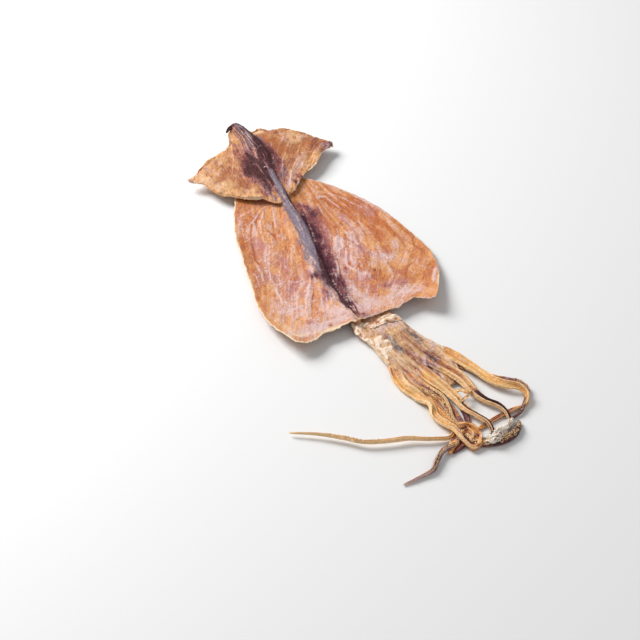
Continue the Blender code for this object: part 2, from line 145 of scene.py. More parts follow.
def through(stations, places):
    """A smooth curve through rows of (place, value, ...), read at the given places: a cubic
    between two stations, with the slope of the neighbours' chord at each of them."""
    table = np.asarray(stations, dtype=float)
    known, values = table[:, 0], table[:, 1:]
    slopes = np.gradient(values, known, axis=0)
    places = np.clip(np.asarray(places, dtype=float), known[0], known[-1])
    left = np.clip(np.searchsorted(known, places) - 1, 0, len(known) - 2)
    span = (known[left + 1] - known[left])[..., None]
    f = (places - known[left])[..., None] / span
    from_left = (1 + 2 * f) * (1 - f) ** 2 * values[left] + f * (1 - f) ** 2 * span * slopes[left]
    from_right = f * f * (3 - 2 * f) * values[left + 1] + f * f * (f - 1) * span * slopes[left + 1]
    return from_left + from_right


def value_through(stations, places):
    """The single value of stations that have only one, at the given places."""
    return through(stations, places)[..., 0]


def running_length(points):
    """How far along a path each of its rows lies; a row begins with a place in space."""
    steps = np.linalg.norm(np.diff(np.asarray(points, dtype=float)[:, :3], axis=0), axis=1)
    return np.concatenate([[0.0], np.cumsum(steps)])


def along_route(points, count):
    """Evenly spaced rows on a smooth curve through rows that begin with a place in space."""
    length = running_length(points)
    return through(np.column_stack([length, points]), np.linspace(0.0, length[-1], count))


def unit(vectors):
    """The vectors, each divided by its own length."""
    return vectors / np.linalg.norm(vectors, axis=1)[:, None]


def eased(value):
    """0 below 0, 1 above 1, and the S-shaped step 3v^2 - 2v^3 between."""
    value = np.clip(value, 0.0, 1.0)
    return value * value * (3 - 2 * value)


def bell(distance, reach):
    """exp(-(distance / reach)^2): 1 at the middle, fading smoothly to nothing."""
    return np.exp(-((distance / reach) ** 2))


def kept(mask):
    """A mask held between 0 and 1."""
    return np.clip(mask, 0.0, 1.0)


print("a curve through 0, 2, 1 is at", value_through(((0, 0), (1, 2), (2, 1)), 0.5), "halfway")

# %% [markdown]
# Dried flesh is never even. Smooth noise on a lattice gives the unevenness: random values at
# the corners of imagined cells, blended across each cell. Cells that are longer than they are
# wide give wrinkles that run lengthwise, and layers of smaller and smaller cells give grain.

# %% Unevenness
LATTICE = 128


def drift(x, y, size, seed):
    """Smooth noise from -1 to 1: random values at the corners of cells of the given size, one
    number or (across, along), blended inside each cell by the S-shaped step."""
    across, along = (size, size) if np.isscalar(size) else size
    table = np.random.default_rng(seed).uniform(-1, 1, (LATTICE, LATTICE))
    u, v = x / across + 17.3, y / along + 41.7
    i, j = np.floor(u).astype(int), np.floor(v).astype(int)
    fu, fv = eased(u - i), eased(v - j)
    left, right, low, high = (index % LATTICE for index in (i, i + 1, j, j + 1))
    near = table[left, low] * (1 - fu) + table[right, low] * fu
    far = table[left, high] * (1 - fu) + table[right, high] * fu
    return near * (1 - fv) + far * fv


def layered(x, y, size, seed, layers=3):
    """Layers of smooth noise, each with cells half as large and half as strong as the last."""
    size = np.asarray((size, size) if np.isscalar(size) else size, dtype=float)
    total = 0.0
    for layer in range(layers):
        total = total + 0.5 ** layer * drift(x, y, tuple(size / 2 ** layer), seed + layer)
    return total / (2 - 0.5 ** (layers - 1))


def turned(x, y, degrees=0):
    """Places read on axes that are turned anticlockwise."""
    c, s = math.cos(math.radians(degrees)), math.sin(math.radians(degrees))
    return c * x + s * y, c * y - s * x


def threads(x, y, size, seed, width=0.10):
    """Thin wandering lines, from 0 to 1: a bell of layered noise about its zero line."""
    return bell(layered(x, y, size, seed, 2), width)


print("noise at the rim's middle:", round(float(drift(np.float64(0), np.float64(0), 5, 1)), 3))

# %% [markdown]
# Skin creases follow the way that it shrank, and that way turns from place to place. A few
# leanings, written where they are plain to see, are blended into a field, and each point is
# followed along the field to one level line. Where it arrives is its flow coordinate: noise
# that is narrow in that coordinate and long in the other lies along the creases everywhere.

# %% Flow of the creases
FLOW_STEPS = 36


def leaning(x, y, field):
    """How far lines lean to the right on their way up, in radians: the mean of the field's
    rows (x, y, degrees, reach), each weighted by 1 / (1 + (distance / reach)^2)^2."""
    total, weight = 0.0, 0.0
    for cx, cy, degrees, reach in field:
        share = (1 + ((x - cx) ** 2 + (y - cy) ** 2) / reach ** 2) ** -2
        total = total + share * degrees
        weight = weight + share
    return np.radians(total / weight)


def flow_place(x, y, field, level):
    """Where the flow line through each point crosses the level line, found in equal steps
    upwards or downwards, each moved sideways by the tangent of the leaning."""
    step = (level - y) / FLOW_STEPS
    for _ in range(FLOW_STEPS):
        x = x + np.tan(leaning(x, y, field)) * step
        y = y + step
    return x


print("flow check:", round(float(flow_place(np.float64(0), np.float64(0), ((0, 0, 45, 10),), 10)), 2))

# %% [markdown]
# The looks depend on where the pigment, the powder and the creases lie. A blot is a soft patch
# with a ragged edge, and a stroke is a line along a smooth route that thins out at both ends.
# Both are masks from 0 to 1 on a piece's own grid, kept as attributes for the shader to read.

# %% Blots and strokes
RAGGED_EDGE = 2.4
RAGGED_SIZE = 7.0
STROKE_STEP = 1.5


def blots(x, y, spots, seed=5):
    """The mask of soft patches, each (across, along, reach across, reach along, strength) and
    perhaps a turn in degrees. The plan is first bent by noise, and each patch is a bell of the
    bent distance, cut off at 1 where its strength is more. Patches are laid over each other as
    glazes are: the light that is left is the product of all."""
    bent_x = x + RAGGED_EDGE * layered(x, y, RAGGED_SIZE, seed)
    bent_y = y + RAGGED_EDGE * layered(x, y, RAGGED_SIZE, seed + 50)
    left = np.ones_like(x)
    for cx, cy, reach_x, reach_y, strength, *turn in spots:
        dx, dy = turned(bent_x - cx, bent_y - cy, *turn)
        cover = strength * np.exp(-(dx / reach_x) ** 2 - (dy / reach_y) ** 2)
        left = left * (1 - np.minimum(cover, 1.0))
    return 1 - left


def strokes(x, y, lines, wobble=0.5, seed=9):
    """The mask of thin lines, each (half width, strength, (x, y), (x, y), ...). A point's mask
    is a bell of its distance to the nearest short piece of the line's smooth route, and the
    line thins out at both ends."""
    bent_x = x + wobble * drift(x, y, 5.0, seed)
    bent_y = y + wobble * drift(x, y, 5.0, seed + 50)
    mask = np.zeros_like(x)
    for half_width, strength, *points in lines:
        flat = np.column_stack([points, np.zeros(len(points))])
        route = along_route(flat, max(3, round(running_length(flat)[-1] / STROKE_STEP)))[:, :2]
        reach = 3 * half_width
        low, high = route.min(axis=0) - reach, route.max(axis=0) + reach
        near = (bent_x > low[0]) & (bent_x < high[0]) & (bent_y > low[1]) & (bent_y < high[1])
        if not near.any():
            continue
        px, py = bent_x[near][:, None], bent_y[near][:, None]
        start, step = route[:-1], np.diff(route, axis=0)
        share = (px - start[:, 0]) * step[:, 0] + (py - start[:, 1]) * step[:, 1]
        share = np.clip(share / (step ** 2).sum(axis=1), 0, 1)
        distance = np.hypot(px - start[:, 0] - share * step[:, 0], py - start[:, 1] - share * step[:, 1])
        nearest = distance.argmin(axis=1)
        rows = np.arange(len(nearest))
        along = (nearest + share[rows, nearest]) / len(start)
        taper = eased(4 * along) * eased(4 * (1 - along)) * 0.8 + 0.2
        line = strength * bell(distance[rows, nearest], half_width * taper)
        mask[near] = np.maximum(mask[near], line)
    return mask


print("a blot's middle:", round(float(blots(np.zeros(1), np.zeros(1), ((0, 0, 9, 9, 1),))[0]), 2))

# %% [markdown]
# Two kinds of closed surface cover the whole animal. A sheet has an upper and a lower grid
# that share their border, so its edge is a thin rounded lip and not a wall. A strip is a ring
# of points carried along a path, closed by a point at each end. The faces are index arrays,
# laid out once for the grid, so no loop visits a vertex.

# %% Meshes from grids
# Pigment, grey skin, powder, deep flesh colour, rosy stain, and bleached or cut edges. Plum, warm
# and rose also carry painted shade in hollows and grooves, bloom and pale painted highlights on
# crests, and slate a painted sheen on the keel's soft side.
MASKS = ("plum", "slate", "bloom", "warm", "rose", "pale")


def finished_mesh(name, points, faces, corner_uv, masks):
    """A smooth-shaded object from points in millimetres, faces as rows of corners (a corner of
    -1 means a triangle), a flat map in millimetres for each corner, and masks, one number a
    point."""
    points = np.array(points, dtype=float)
    points[:, 2] = np.maximum(points[:, 2], SHEET_LOWEST)
    used = faces >= 0
    sizes, corners = used.sum(axis=1), faces[used]
    mesh = bpy.data.meshes.new(name)
    mesh.vertices.add(len(points))
    mesh.vertices.foreach_set("co", placed(points).astype(np.float32).ravel())
    mesh.loops.add(len(corners))
    mesh.loops.foreach_set("vertex_index", corners.astype(np.int32))
    mesh.polygons.add(len(faces))
    mesh.polygons.foreach_set("loop_start", (np.cumsum(sizes) - sizes).astype(np.int32))
    mesh.update(calc_edges=True)
    mesh.validate()
    mesh.shade_smooth()
    flat = mesh.uv_layers.new(name="flat")
    flat.data.foreach_set("uv", (corner_uv[used] * MM).astype(np.float32).ravel())
    for mask in MASKS:
        layer = mesh.attributes.new(mask, "FLOAT", "POINT")
        values = np.broadcast_to(masks.get(mask, 0.0), (len(points),))
        layer.data.foreach_set("value", values.astype(np.float32))
    piece = bpy.data.objects.new(name, mesh)
    bpy.context.scene.collection.objects.link(piece)
    print(f"{name}: {len(points)} points, {int((sizes - 2).sum())} triangles")
    return piece


def closed_sheet(name, top, bottom, flat, masks):
    """A closed sheet from two grids (rows, columns, 3), whose border points are the upper
    grid's. The flat map and the masks are grids too, and the lower side takes the same."""
    rows, columns = top.shape[:2]
    upper = np.arange(rows * columns).reshape(rows, columns)
    lower = upper + rows * columns
    lower[0], lower[-1], lower[:, 0], lower[:, -1] = upper[0], upper[-1], upper[:, 0], upper[:, -1]
    above = np.stack([upper[:-1, :-1], upper[:-1, 1:], upper[1:, 1:], upper[1:, :-1]], axis=-1)
    below = np.stack([lower[:-1, :-1], lower[1:, :-1], lower[1:, 1:], lower[:-1, 1:]], axis=-1)
    faces = np.concatenate([above.reshape(-1, 4), below.reshape(-1, 4)])
    points = np.concatenate([top.reshape(-1, 3), bottom.reshape(-1, 3)])
    corner_uv = np.tile(flat.reshape(-1, 2), (2, 1))[faces]
    used, renumbered = np.unique(faces, return_inverse=True)
    both = {mask: np.tile(grid.ravel(), 2)[used] for mask, grid in masks.items()}
    return finished_mesh(name, points[used], renumbered.reshape(faces.shape), corner_uv, both)


def closed_strips(name, rings, masks):
    """One mesh of closed strips, from rings of points (strips, rings, around, 3), with a point
    at each end of each strip. The flat map runs round the ring and along the path."""
    strips, count, around = rings.shape[:3]
    index = np.arange(strips * count * around).reshape(strips, count, around)
    after = np.roll(index, -1, axis=2)
    sides = np.stack([index[:, :-1], after[:, :-1], after[:, 1:], index[:, 1:]], axis=-1)
    pole = index.size + np.arange(2 * strips).reshape(2, strips, 1)
    none = np.full((strips, around), -1)
    first = np.broadcast_to(pole[0], none.shape)
    last = np.broadcast_to(pole[1], none.shape)
    near_end = np.stack([first, after[:, 0], index[:, 0], none], axis=-1)
    far_end = np.stack([last, index[:, -1], after[:, -1], none], axis=-1)
    faces = np.concatenate([sides.reshape(-1, 4), near_end.reshape(-1, 4), far_end.reshape(-1, 4)])
    middles = rings.mean(axis=2)
    points = np.concatenate([rings.reshape(-1, 3), middles[:, 0], middles[:, -1]])
    girth = np.linalg.norm(np.diff(rings, axis=2), axis=3).sum(axis=2).mean(axis=1)
    steps = np.linalg.norm(np.diff(middles, axis=1), axis=2)
    along = np.concatenate([np.zeros((strips, 1)), np.cumsum(steps, axis=1)], axis=1)
    u = np.broadcast_to(girth[:, None, None] * np.arange(around) / around, index.shape)
    v = np.broadcast_to(along[:, :, None], index.shape)
    u_after = u + girth[:, None, None] / around
    side_uv = np.stack([np.stack([u[:, :-1], v[:, :-1]], -1), np.stack([u_after[:, :-1], v[:, :-1]], -1),
                        np.stack([u_after[:, 1:], v[:, 1:]], -1), np.stack([u[:, 1:], v[:, 1:]], -1)], 3)
    ends_uv = [np.repeat(np.stack([u[:, row], v[:, row]], -1)[:, :, None], 4, axis=2) for row in (0, -1)]
    corner_uv = np.concatenate([part.reshape(-1, 4, 2) for part in (side_uv, *ends_uv)])
    spread_masks = {}
    for mask, grid in masks.items():
        grid = np.broadcast_to(grid, index.shape)
        spread_masks[mask] = np.concatenate([grid.ravel(), grid[:, 0].mean(axis=1), grid[:, -1].mean(axis=1)])
    return finished_mesh(name, points, faces, corner_uv, spread_masks)


def dressed(piece, material):
    """Puts the piece into the frame: it rides on the root body in place of the plain solid."""
    piece.data.materials.append(material)
    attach(piece, "root")
    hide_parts(NODE)
    return piece


def crowded(count, places, strength, reach):
    """Places from -1 to 1 that lie closer together near the given ones: the running sum of
    the density 1 + strength * bell(distance, reach), read at even steps."""
    fine = np.linspace(-1, 1, 2001)
    density = 1 + strength * sum(bell(fine - place, reach) for place in places)
    total = np.cumsum(density)
    total = (total - total[0]) / (total[-1] - total[0])
    return np.interp(np.linspace(0, 1, count), total, fine)


def lip(distance, radius):
    """The share of full thickness at a distance from an edge, rounded like a quarter circle."""
    inside = np.clip(distance / radius, 0, 1)
    return np.sqrt(1 - (1 - inside) ** 2)


print("halfway into its lip a sheet has", round(float(lip(0.5, 1.0)), 2), "of its thickness")

# %% [markdown]
# One finish covers the whole animal, in different strengths: amber flesh, rosy stains, plum
# pigment in fine speckles, blue-grey skin, white powder and pale dry edges. The same masks also
# paint shade into hollows and grooves and highlights on to crests. Each effect is a small node
# group, made once, and each material sets its amounts. The groups hand on only colours and
# masks, so the finish also survives being baked.

# %% Node groups


def new_group(name, inputs, outputs):
    """An empty shader node group with named float, colour or vector sockets."""
    group = bpy.data.node_groups.new(name, "ShaderNodeTree")
    for label, kind, default in inputs:
        socket = group.interface.new_socket(label, in_out="INPUT", socket_type="NodeSocket" + kind)
        if default is not None:
            socket.default_value = default
    for label in outputs:
        group.interface.new_socket(label, in_out="OUTPUT", socket_type="NodeSocketFloat")
    return group, group.nodes.new("NodeGroupInput").outputs, group.nodes.new("NodeGroupOutput").inputs


def feed(tree, socket, value):
    """Gives a socket a plain number or colour, or the output of another node."""
    if isinstance(value, (int, float, tuple)):
        socket.default_value = value
    else:
        tree.links.new(value, socket)


def add_node(tree, kind, **inputs):
    """A new shader node, with the named inputs fed; an underscore stands for a space."""
    node = tree.nodes.new("ShaderNode" + kind)
    for label, value in inputs.items():
        feed(tree, node.inputs[label.replace("_", " ")], value)
    return node


def noise(tree, vector, scale, detail=3.0, roughness=0.55):
    """A noise texture's value."""
    return add_node(tree, "TexNoise", Vector=vector, Scale=scale, Detail=detail,
                    Roughness=roughness).outputs["Fac"]


def spread(tree, value, low, high, to_low=0.0, to_high=1.0):
    """Low to high of a value spread over to_low to to_high, smoothly and clamped."""
    node = add_node(tree, "MapRange", Value=value, From_Min=low, From_Max=high, To_Min=to_low, To_Max=to_high)
    node.interpolation_type = "SMOOTHSTEP"
    return node.outputs["Result"]


def maths(tree, operation, first, second, clamp=False):
    """A maths node: each of first and second is a socket or a plain number."""
    node = tree.nodes.new("ShaderNodeMath")
    node.operation = operation
    node.use_clamp = clamp
    feed(tree, node.inputs[0], first)
    feed(tree, node.inputs[1], second)
    return node.outputs["Value"]


def mixed(tree, *shares):
    """The sum of sockets times plain numbers, given as (socket, number) pairs; a number alone
    is added as it is."""
    total = 0.0
    for share in shares:
        term = share if isinstance(share, float) else maths(tree, "MULTIPLY", *share)
        total = maths(tree, "ADD", term, total)
    return total


def blend_colour(tree, mask, under, over):
    """The colour under, covered by the colour over where the mask is 1."""
    node = tree.nodes.new("ShaderNodeMix")
    node.data_type = "RGBA"
    for label, value in (("Factor", mask), ("A", under), ("B", over)):
        feed(tree, node.inputs[label], value)
    return node.outputs["Result"]


print("node helpers are ready")

# %% [markdown]
# Pigment sits in the skin as tiny sacs, which crowd into stains. So its mask is pushed up and
# down by noise of two sizes, and read twice: at a low level for the rosy stain and at a high
# level for the dark heart of it. Powder is treated the same way and comes out as white clouds
# with crisp grains. Dots are the lone sacs: small round cells, of which only some are filled.

# %% Effects as node groups


def pigment_group():
    """Level = mask + 0.8 (clouds - 0.5) + 1.4 (dots - 0.5); stain and core are soft steps of
    it, faded out where there is no mask at all."""
    group, given, made = new_group("pigment", (("Place", "Vector", None), ("Mask", "Float", 0.5),
                                               ("Fineness", "Float", 800.0)), ("Stain", "Core"))
    clouds = noise(group, given["Place"], 170.0, 4.0, 0.6)
    dots = noise(group, given["Place"], given["Fineness"], 3.0, 0.6)
    level = mixed(group, (given["Mask"], 1.0), (clouds, 0.8), (dots, 1.4), -1.1)
    gate = spread(group, given["Mask"], 0.02, 0.25)
    group.links.new(maths(group, "MULTIPLY", spread(group, level, -0.05, 0.70), gate), made["Stain"])
    group.links.new(maths(group, "MULTIPLY", spread(group, level, 0.30, 1.05), gate), made["Core"])
    return group


def powder_group():
    """Level = mask + 1.3 (clouds - 0.5) + 1.0 (grains - 0.5) + 1.6 lines, as a soft step, so
    that the powder lies in clouds which are combed along the piece's fibres."""
    group, given, made = new_group("powder", (("Place", "Vector", None), ("Mask", "Float", 0.5),
                                              ("Lines", "Float", 0.0)), ("Mask",))
    clouds = noise(group, given["Place"], 300.0, 4.0, 0.65)
    grains = noise(group, given["Place"], 800.0, 3.0, 0.6)
    level = mixed(group, (given["Mask"], 1.0), (clouds, 1.3), (grains, 1.0), (given["Lines"], 1.6), -1.15)
    gate = spread(group, given["Mask"], 0.0, 0.3)
    group.links.new(maths(group, "MULTIPLY", spread(group, level, 0.1, 0.9), gate), made["Mask"])
    return group


def dots_group():
    """Small dark dots: the near middles of cells about 2 mm apart, kept only where the cell's
    own random number is high, and thinned out by clouds."""
    group, given, made = new_group("skin_dots", (("Place", "Vector", None), ("Scale", "Float", 480.0)),
                                   ("Mask",))
    cells = add_node(group, "TexVoronoi", Vector=given["Place"], Scale=given["Scale"])
    chance = add_node(group, "SeparateColor", Color=cells.outputs["Color"])
    filled = spread(group, chance.outputs["Red"], 0.45, 0.75)
    near = spread(group, cells.outputs["Distance"], 0.10, 0.30, 1.0, 0.0)
    clouds = spread(group, noise(group, given["Place"], 90.0, 2.0), 0.42, 0.62, 0.15, 1.0)
    dots = maths(group, "MULTIPLY", maths(group, "MULTIPLY", filled, near), clouds)
    group.links.new(dots, made["Mask"])
    return group


def fibre_group():
    """Fine lines along the piece's flat map, from -0.5 to 0.5: noise in cells many times
    longer than they are wide."""
    group, given, made = new_group("fibres", (("Flat", "Vector", None), ("Fineness", "Float", 700.0)),
                                   ("Lines",))
    stretched = add_node(group, "Mapping", Vector=given["Flat"], Scale=(1.0, 0.08, 1.0))
    lines = noise(group, stretched.outputs["Vector"], given["Fineness"], 4.0)
    group.links.new(maths(group, "SUBTRACT", lines, 0.5), made["Lines"])
    return group


def leather_group():
    """The relief of dried skin, as a height: 1.3 pits + 0.3 fine cells + 1.2 fibre lines."""
    group, given, made = new_group("leather_relief", (("Place", "Vector", None), ("Lines", "Float", 0.0)),
                                   ("Height",))
    pits = noise(group, given["Place"], 520.0, 5.0, 0.65)
    cells = add_node(group, "TexVoronoi", Vector=given["Place"], Scale=950.0)
    height = mixed(group, (pits, 1.3), (cells.outputs["Distance"], 0.3), (given["Lines"], 1.2))
    group.links.new(height, made["Height"])
    return group


PIGMENT, POWDER, DOTS, FIBRES, LEATHER = (make() for make in (pigment_group, powder_group, dots_group,
                                                              fibre_group, leather_group))
print("node groups:", [group.name for group in bpy.data.node_groups])

# %% [markdown]
# A material starts from two flesh colours and lays the stains, the pigment, the grey skin, the
# powder and the pale edges over them, each where its mask says. Crusts and dried skins easily
# turn out too orange, so the deep colour is a brown amber and the powder is pink, not white.

# %% The finish
STAIN_COLOUR = (0.28, 0.070, 0.075, 1.0)
ROSE_COLOUR = (0.52, 0.210, 0.175, 1.0)
POWDER_COLOUR = (0.70, 0.480, 0.450, 1.0)
PALE_COLOUR = (0.86, 0.66, 0.45, 1.0)
DOT_COLOUR = (0.20, 0.045, 0.035, 1.0)
# In metres.
GRAIN_DEPTH = 0.00055
# The finest creases hold shadow, so fine noise scales the colour between these two numbers.
SHADE_RANGE = (0.84, 1.07)
DOT_COVER = 0.55
# A little light passes through dried skin, most of it red. The radius is in metres.
SKIN_SOCKETS = {
    "Subsurface Weight": 0.1,
    "Subsurface Radius": (0.0022, 0.001, 0.0005),
    "Subsurface Scale": 1,
    "Specular IOR Level": 0.28,
}


def attribute(tree, name):
    """One of the piece's painted masks."""
    node = tree.nodes.new("ShaderNodeAttribute")
    node.attribute_name = name
    return node.outputs["Fac"]


def use_group(tree, group, **links):
    """A copy of a node group in a material, with sockets or plain numbers at its inputs."""
    node = tree.nodes.new("ShaderNodeGroup")
    node.node_tree = group
    for label, value in links.items():
        feed(tree, node.inputs[label], value)
    return node.outputs


def flesh_layers(tree, place, lines, clouds, grain, plum, slate, pale):
    """What lies over the flesh, as (mask, colour) from the lowest layer up. Each mask is a soft
    step of a painted mask plus noise, and of the fibres where a layer is combed along them."""
    mottle = maths(tree, "SUBTRACT", noise(tree, place, 66.0, 4.0, 0.6), 0.5)
    rosy = mixed(tree, (attribute(tree, "rose"), 1.2), (mottle, 2.0), (grain, 1.0))
    pigment = use_group(tree, PIGMENT, Place=place, Mask=attribute(tree, "plum"), Fineness=800.0)
    grey = mixed(tree, (attribute(tree, "slate"), 1.0), (clouds, 0.8), (grain, 1.0), (lines, 1.0))
    dots = use_group(tree, DOTS, Place=place, Scale=480.0)["Mask"]
    powder = use_group(tree, POWDER, Place=place, Lines=lines, Mask=attribute(tree, "bloom"))["Mask"]
    edge = mixed(tree, (attribute(tree, "pale"), 1.0), (grain, 0.8))
    return {
        "rosy": (spread(tree, rosy, 0.1, 0.95), ROSE_COLOUR),
        "stain": (pigment["Stain"], STAIN_COLOUR),
        "grey": (spread(tree, grey, 0.05, 0.9), slate),
        "core": (pigment["Core"], plum),
        "dots": (maths(tree, "MULTIPLY", dots, DOT_COVER), DOT_COLOUR),
        "powder": (powder, POWDER_COLOUR),
        "edge": (spread(tree, edge, 0.1, 0.9), pale),
    }


def add_relief(tree, shader, place, lines, fibre_relief):
    """The leather's height as a bump, with its fibres made weaker or stronger."""
    ridged = maths(tree, "MULTIPLY", lines, fibre_relief)
    height = use_group(tree, LEATHER, Place=place, Lines=ridged)["Height"]
    bump = add_node(tree, "Bump", Distance=GRAIN_DEPTH, Strength=1.0, Height=height)
    tree.links.new(bump.outputs["Normal"], shader.inputs["Normal"])


def dried_flesh(name, light, deep, plum, slate, fibre_tint=0.5, fibre_relief=1.0, roughness=0.40,
                mottling=1.0, pale=PALE_COLOUR):
    """Principled flesh: light shifts to deep by the warm mask, clouds, grain and fibres, and the
    layers lie over it. Fine noise shades the whole, and powder and pigment dull the gloss."""
    material = bpy.data.materials.new(name)
    material.use_nodes = True
    tree = material.node_tree
    shader = tree.nodes["Principled BSDF"]
    place = tree.nodes.new("ShaderNodeTexCoord").outputs["Object"]
    flat = tree.nodes.new("ShaderNodeUVMap")
    flat.uv_map = "flat"
    lines = use_group(tree, FIBRES, Flat=flat.outputs["UV"], Fineness=700.0)["Lines"]
    clouds = maths(tree, "SUBTRACT", noise(tree, place, 130.0, 5.0, 0.62), 0.5)
    grain = maths(tree, "SUBTRACT", noise(tree, place, 520.0, 4.0, 0.62), 0.5)
    warmth = mixed(tree, (attribute(tree, "warm"), 1.0), (clouds, 2.2 * mottling), (grain, 1.2 * mottling),
                   (lines, fibre_tint), 0.36)
    colour = blend_colour(tree, maths(tree, "MULTIPLY", warmth, 1.0, clamp=True), light, deep)
    layers = flesh_layers(tree, place, lines, clouds, grain, plum, slate, pale)
    for mask, over in layers.values():
        colour = blend_colour(tree, mask, colour, over)
    shade = spread(tree, noise(tree, place, 640.0, 4.0, 0.7), 0.30, 0.70, *SHADE_RANGE)
    shaded = tree.nodes.new("ShaderNodeVectorMath")
    shaded.operation = "SCALE"
    feed(tree, shaded.inputs["Vector"], colour)
    feed(tree, shaded.inputs["Scale"], shade)
    tree.links.new(shaded.outputs["Vector"], shader.inputs["Base Color"])
    powder, core = layers["powder"][0], layers["core"][0]
    dullness = mixed(tree, (powder, 0.25), (core, 0.35), (grain, 0.3), roughness)
    tree.links.new(dullness, shader.inputs["Roughness"])
    add_relief(tree, shader, place, lines, fibre_relief)
    for label, value in SKIN_SOCKETS.items():
        shader.inputs[label].default_value = value
    return material


PLUM = (0.048, 0.006, 0.019, 1.0)
SLATE = (0.175, 0.138, 0.185, 1.0)
body_flesh = dried_flesh("body_flesh", (0.78, 0.385, 0.150, 1.0), (0.50, 0.140, 0.030, 1.0), PLUM, SLATE,
                         fibre_tint=0.4, fibre_relief=0.5, mottling=0.6)
fin_skin = dried_flesh("fin_skin", (0.81, 0.445, 0.190, 1.0), (0.42, 0.140, 0.042, 1.0),
                       (0.060, 0.014, 0.013, 1.0), SLATE, fibre_tint=0.4, fibre_relief=0.7, mottling=0.4)
head_skin = dried_flesh("head_skin", (0.84, 0.52, 0.28, 1.0), (0.46, 0.205, 0.08, 1.0),
                        (0.075, 0.028, 0.028, 1.0), (0.135, 0.105, 0.118, 1.0), fibre_tint=0.6, mottling=0.6)
arm_flesh = dried_flesh("arm_flesh", (0.97, 0.56, 0.17, 1.0), (0.70, 0.28, 0.055, 1.0),
                        (0.070, 0.024, 0.027, 1.0), (0.12, 0.095, 0.115, 1.0), fibre_tint=0.6, roughness=0.32,
                        mottling=0.7, pale=(0.95, 0.64, 0.34, 1.0))
collar_skin = dried_flesh("collar_skin", (0.97, 0.70, 0.48, 1.0), (0.62, 0.27, 0.11, 1.0),
                          (0.13, 0.055, 0.04, 1.0), SLATE, fibre_tint=0.3, mottling=1.0,
                          pale=(0.97, 0.76, 0.58, 1.0))
print("materials:", [material.name for material in bpy.data.materials])

# %% [markdown]
# The body sheet, or mantle, is what most people eat: a leathery sheet about two millimetres
# thick, wide in its lower half, with a wavy rim. It could be sculpted, but a grid whose rows
# follow the outline keeps the same form as the solid and takes as fine a relief as it needs.
# Its rows run from the rim to the tail, and its columns crowd towards both edges.

# %% The mantle's form
MANTLE_LENGTH = 215.0
MANTLE_THICKNESS = 2.1
# How far the sheet reaches to each side: (distance from the rim, width).
MANTLE_LEFT = (
    (0, 45.5), (20, 52.5), (36, 53.4), (62, 49.5), (90, 44.8), (118, 39.8), (145, 29.5), (165, 19),
    (190, 10), (MANTLE_LENGTH, 4),
)
MANTLE_RIGHT = (
    (0, 55), (18, 66.8), (32, 72.8), (47, 75.4), (74, 71), (100, 64.2), (125, 52.2), (143, 38.4), (157, 23),
    (180, 11), (MANTLE_LENGTH, 5),
)
# How far the wavy rim swings towards the tail: (place across, shift).
RIM_WAVE = (
    (-46, -4.5), (-38, -5.9), (-28, -3.2), (-20, -0.6), (0, 0.4), (20, 2.8), (32, 2.9), (43, 4.6), (50, 0.8),
    (56, -2.6),
)
RIM_REACH = 45.0
# The midline's height, and its place across: (distance from the rim, value).
MIDLINE_HEIGHT = (
    (-8, 10), (0, 9.6), (22, 6.6), (45, 4.7), (80, 4.1), (112, 4.5), (150, 7.3), (190, 10.5),
    (MANTLE_LENGTH, 13),
)
MIDLINE_PLACE = ((0, 0), (45, -1), (70, -0.2), (105, 3.6), (150, 3.7), (200, 2.2), (MANTLE_LENGTH, -1.5))
TENT_RISE, TENT_WIDTH = 2.3, 10.0
EDGE_LIFT = 2.4
# Here and below, such a pair is where a change along the animal begins, and its length.
SHOULDER = (100.0, 40.0)
CORNER_LIFT, CORNER_REACH = 2.0, 24.0
# Broad swellings: (across, along, rise, reach across, reach along).
SWELLINGS = ((30, 58, 1.6, 13, 24), (-20, 98, 0.9, 8, 26), (-24, 16, 1, 12, 9), (52, 20, -1.4, 9, 9))
MANTLE_ROWS, MANTLE_COLUMNS = 292, 166
EDGE_ROUNDING = 0.8
# The edge has this share of the full thickness, which is reached so many millimetres in.
EDGE_SHARE, FULL_FROM = 0.36, 12


def mantle_height(x, y, across):
    """The mantle's upper side: the midline's height, less the fall away from the keel, plus
    the broad swellings and the lift of the edges and lower corners."""
    offset = x - value_through(MIDLINE_PLACE, y)
    height = value_through(MIDLINE_HEIGHT, y) - TENT_RISE * (1 - bell(offset, TENT_WIDTH))
    below_shoulder = 1 - eased((y - SHOULDER[0]) / SHOULDER[1])
    height = height + EDGE_LIFT * np.abs(across) ** 4 * below_shoulder
    height = height + CORNER_LIFT * np.abs(across) ** 3 * bell(y, CORNER_REACH)
    for cx, cy, rise, reach_x, reach_y in SWELLINGS:
        height = height + rise * bell(x - cx, reach_x) * bell(y - cy, reach_y)
    return height


def mantle_plan():
    """Where the grid's points lie: (x, y, height above the rim, across from -1 to 1), and how
    far each one is from the nearest outer edge."""
    across = crowded(MANTLE_COLUMNS, (-1, 1), 3.0, 0.04)[None, :]
    up = (MANTLE_LENGTH * (crowded(MANTLE_ROWS, (-1,), 3.0, 0.02) + 1) / 2)[:, None]
    half = np.where(across < 0, value_through(MANTLE_LEFT, up), value_through(MANTLE_RIGHT, up))
    x = across * half + value_through(MIDLINE_PLACE, up) * (1 - across ** 2)
    fade = np.clip(1 - up / RIM_REACH, 0, 1) ** 2
    y = up + value_through(RIM_WAVE, x) * fade
    edge = np.minimum((1 - np.abs(across)) * half, np.minimum(up + 0 * x, MANTLE_LENGTH - up))
    fray = bell(edge, 2.0)
    y = y + fray * bell(up, 3.0) * (1.6 * layered(x, y, 4.0, 3) + 0.8 * layered(x, y, 1.6, 4))
    x = x + fray * 0.7 * layered(x, y, 4.0, 5) * eased(up / 4)
    return x, y, up + 0 * x, across + 0 * x, edge


mantle_x, mantle_y, mantle_up, mantle_across, mantle_edge = mantle_plan()
print("the mantle is", round(float(np.ptp(mantle_x)), 1), "mm wide")
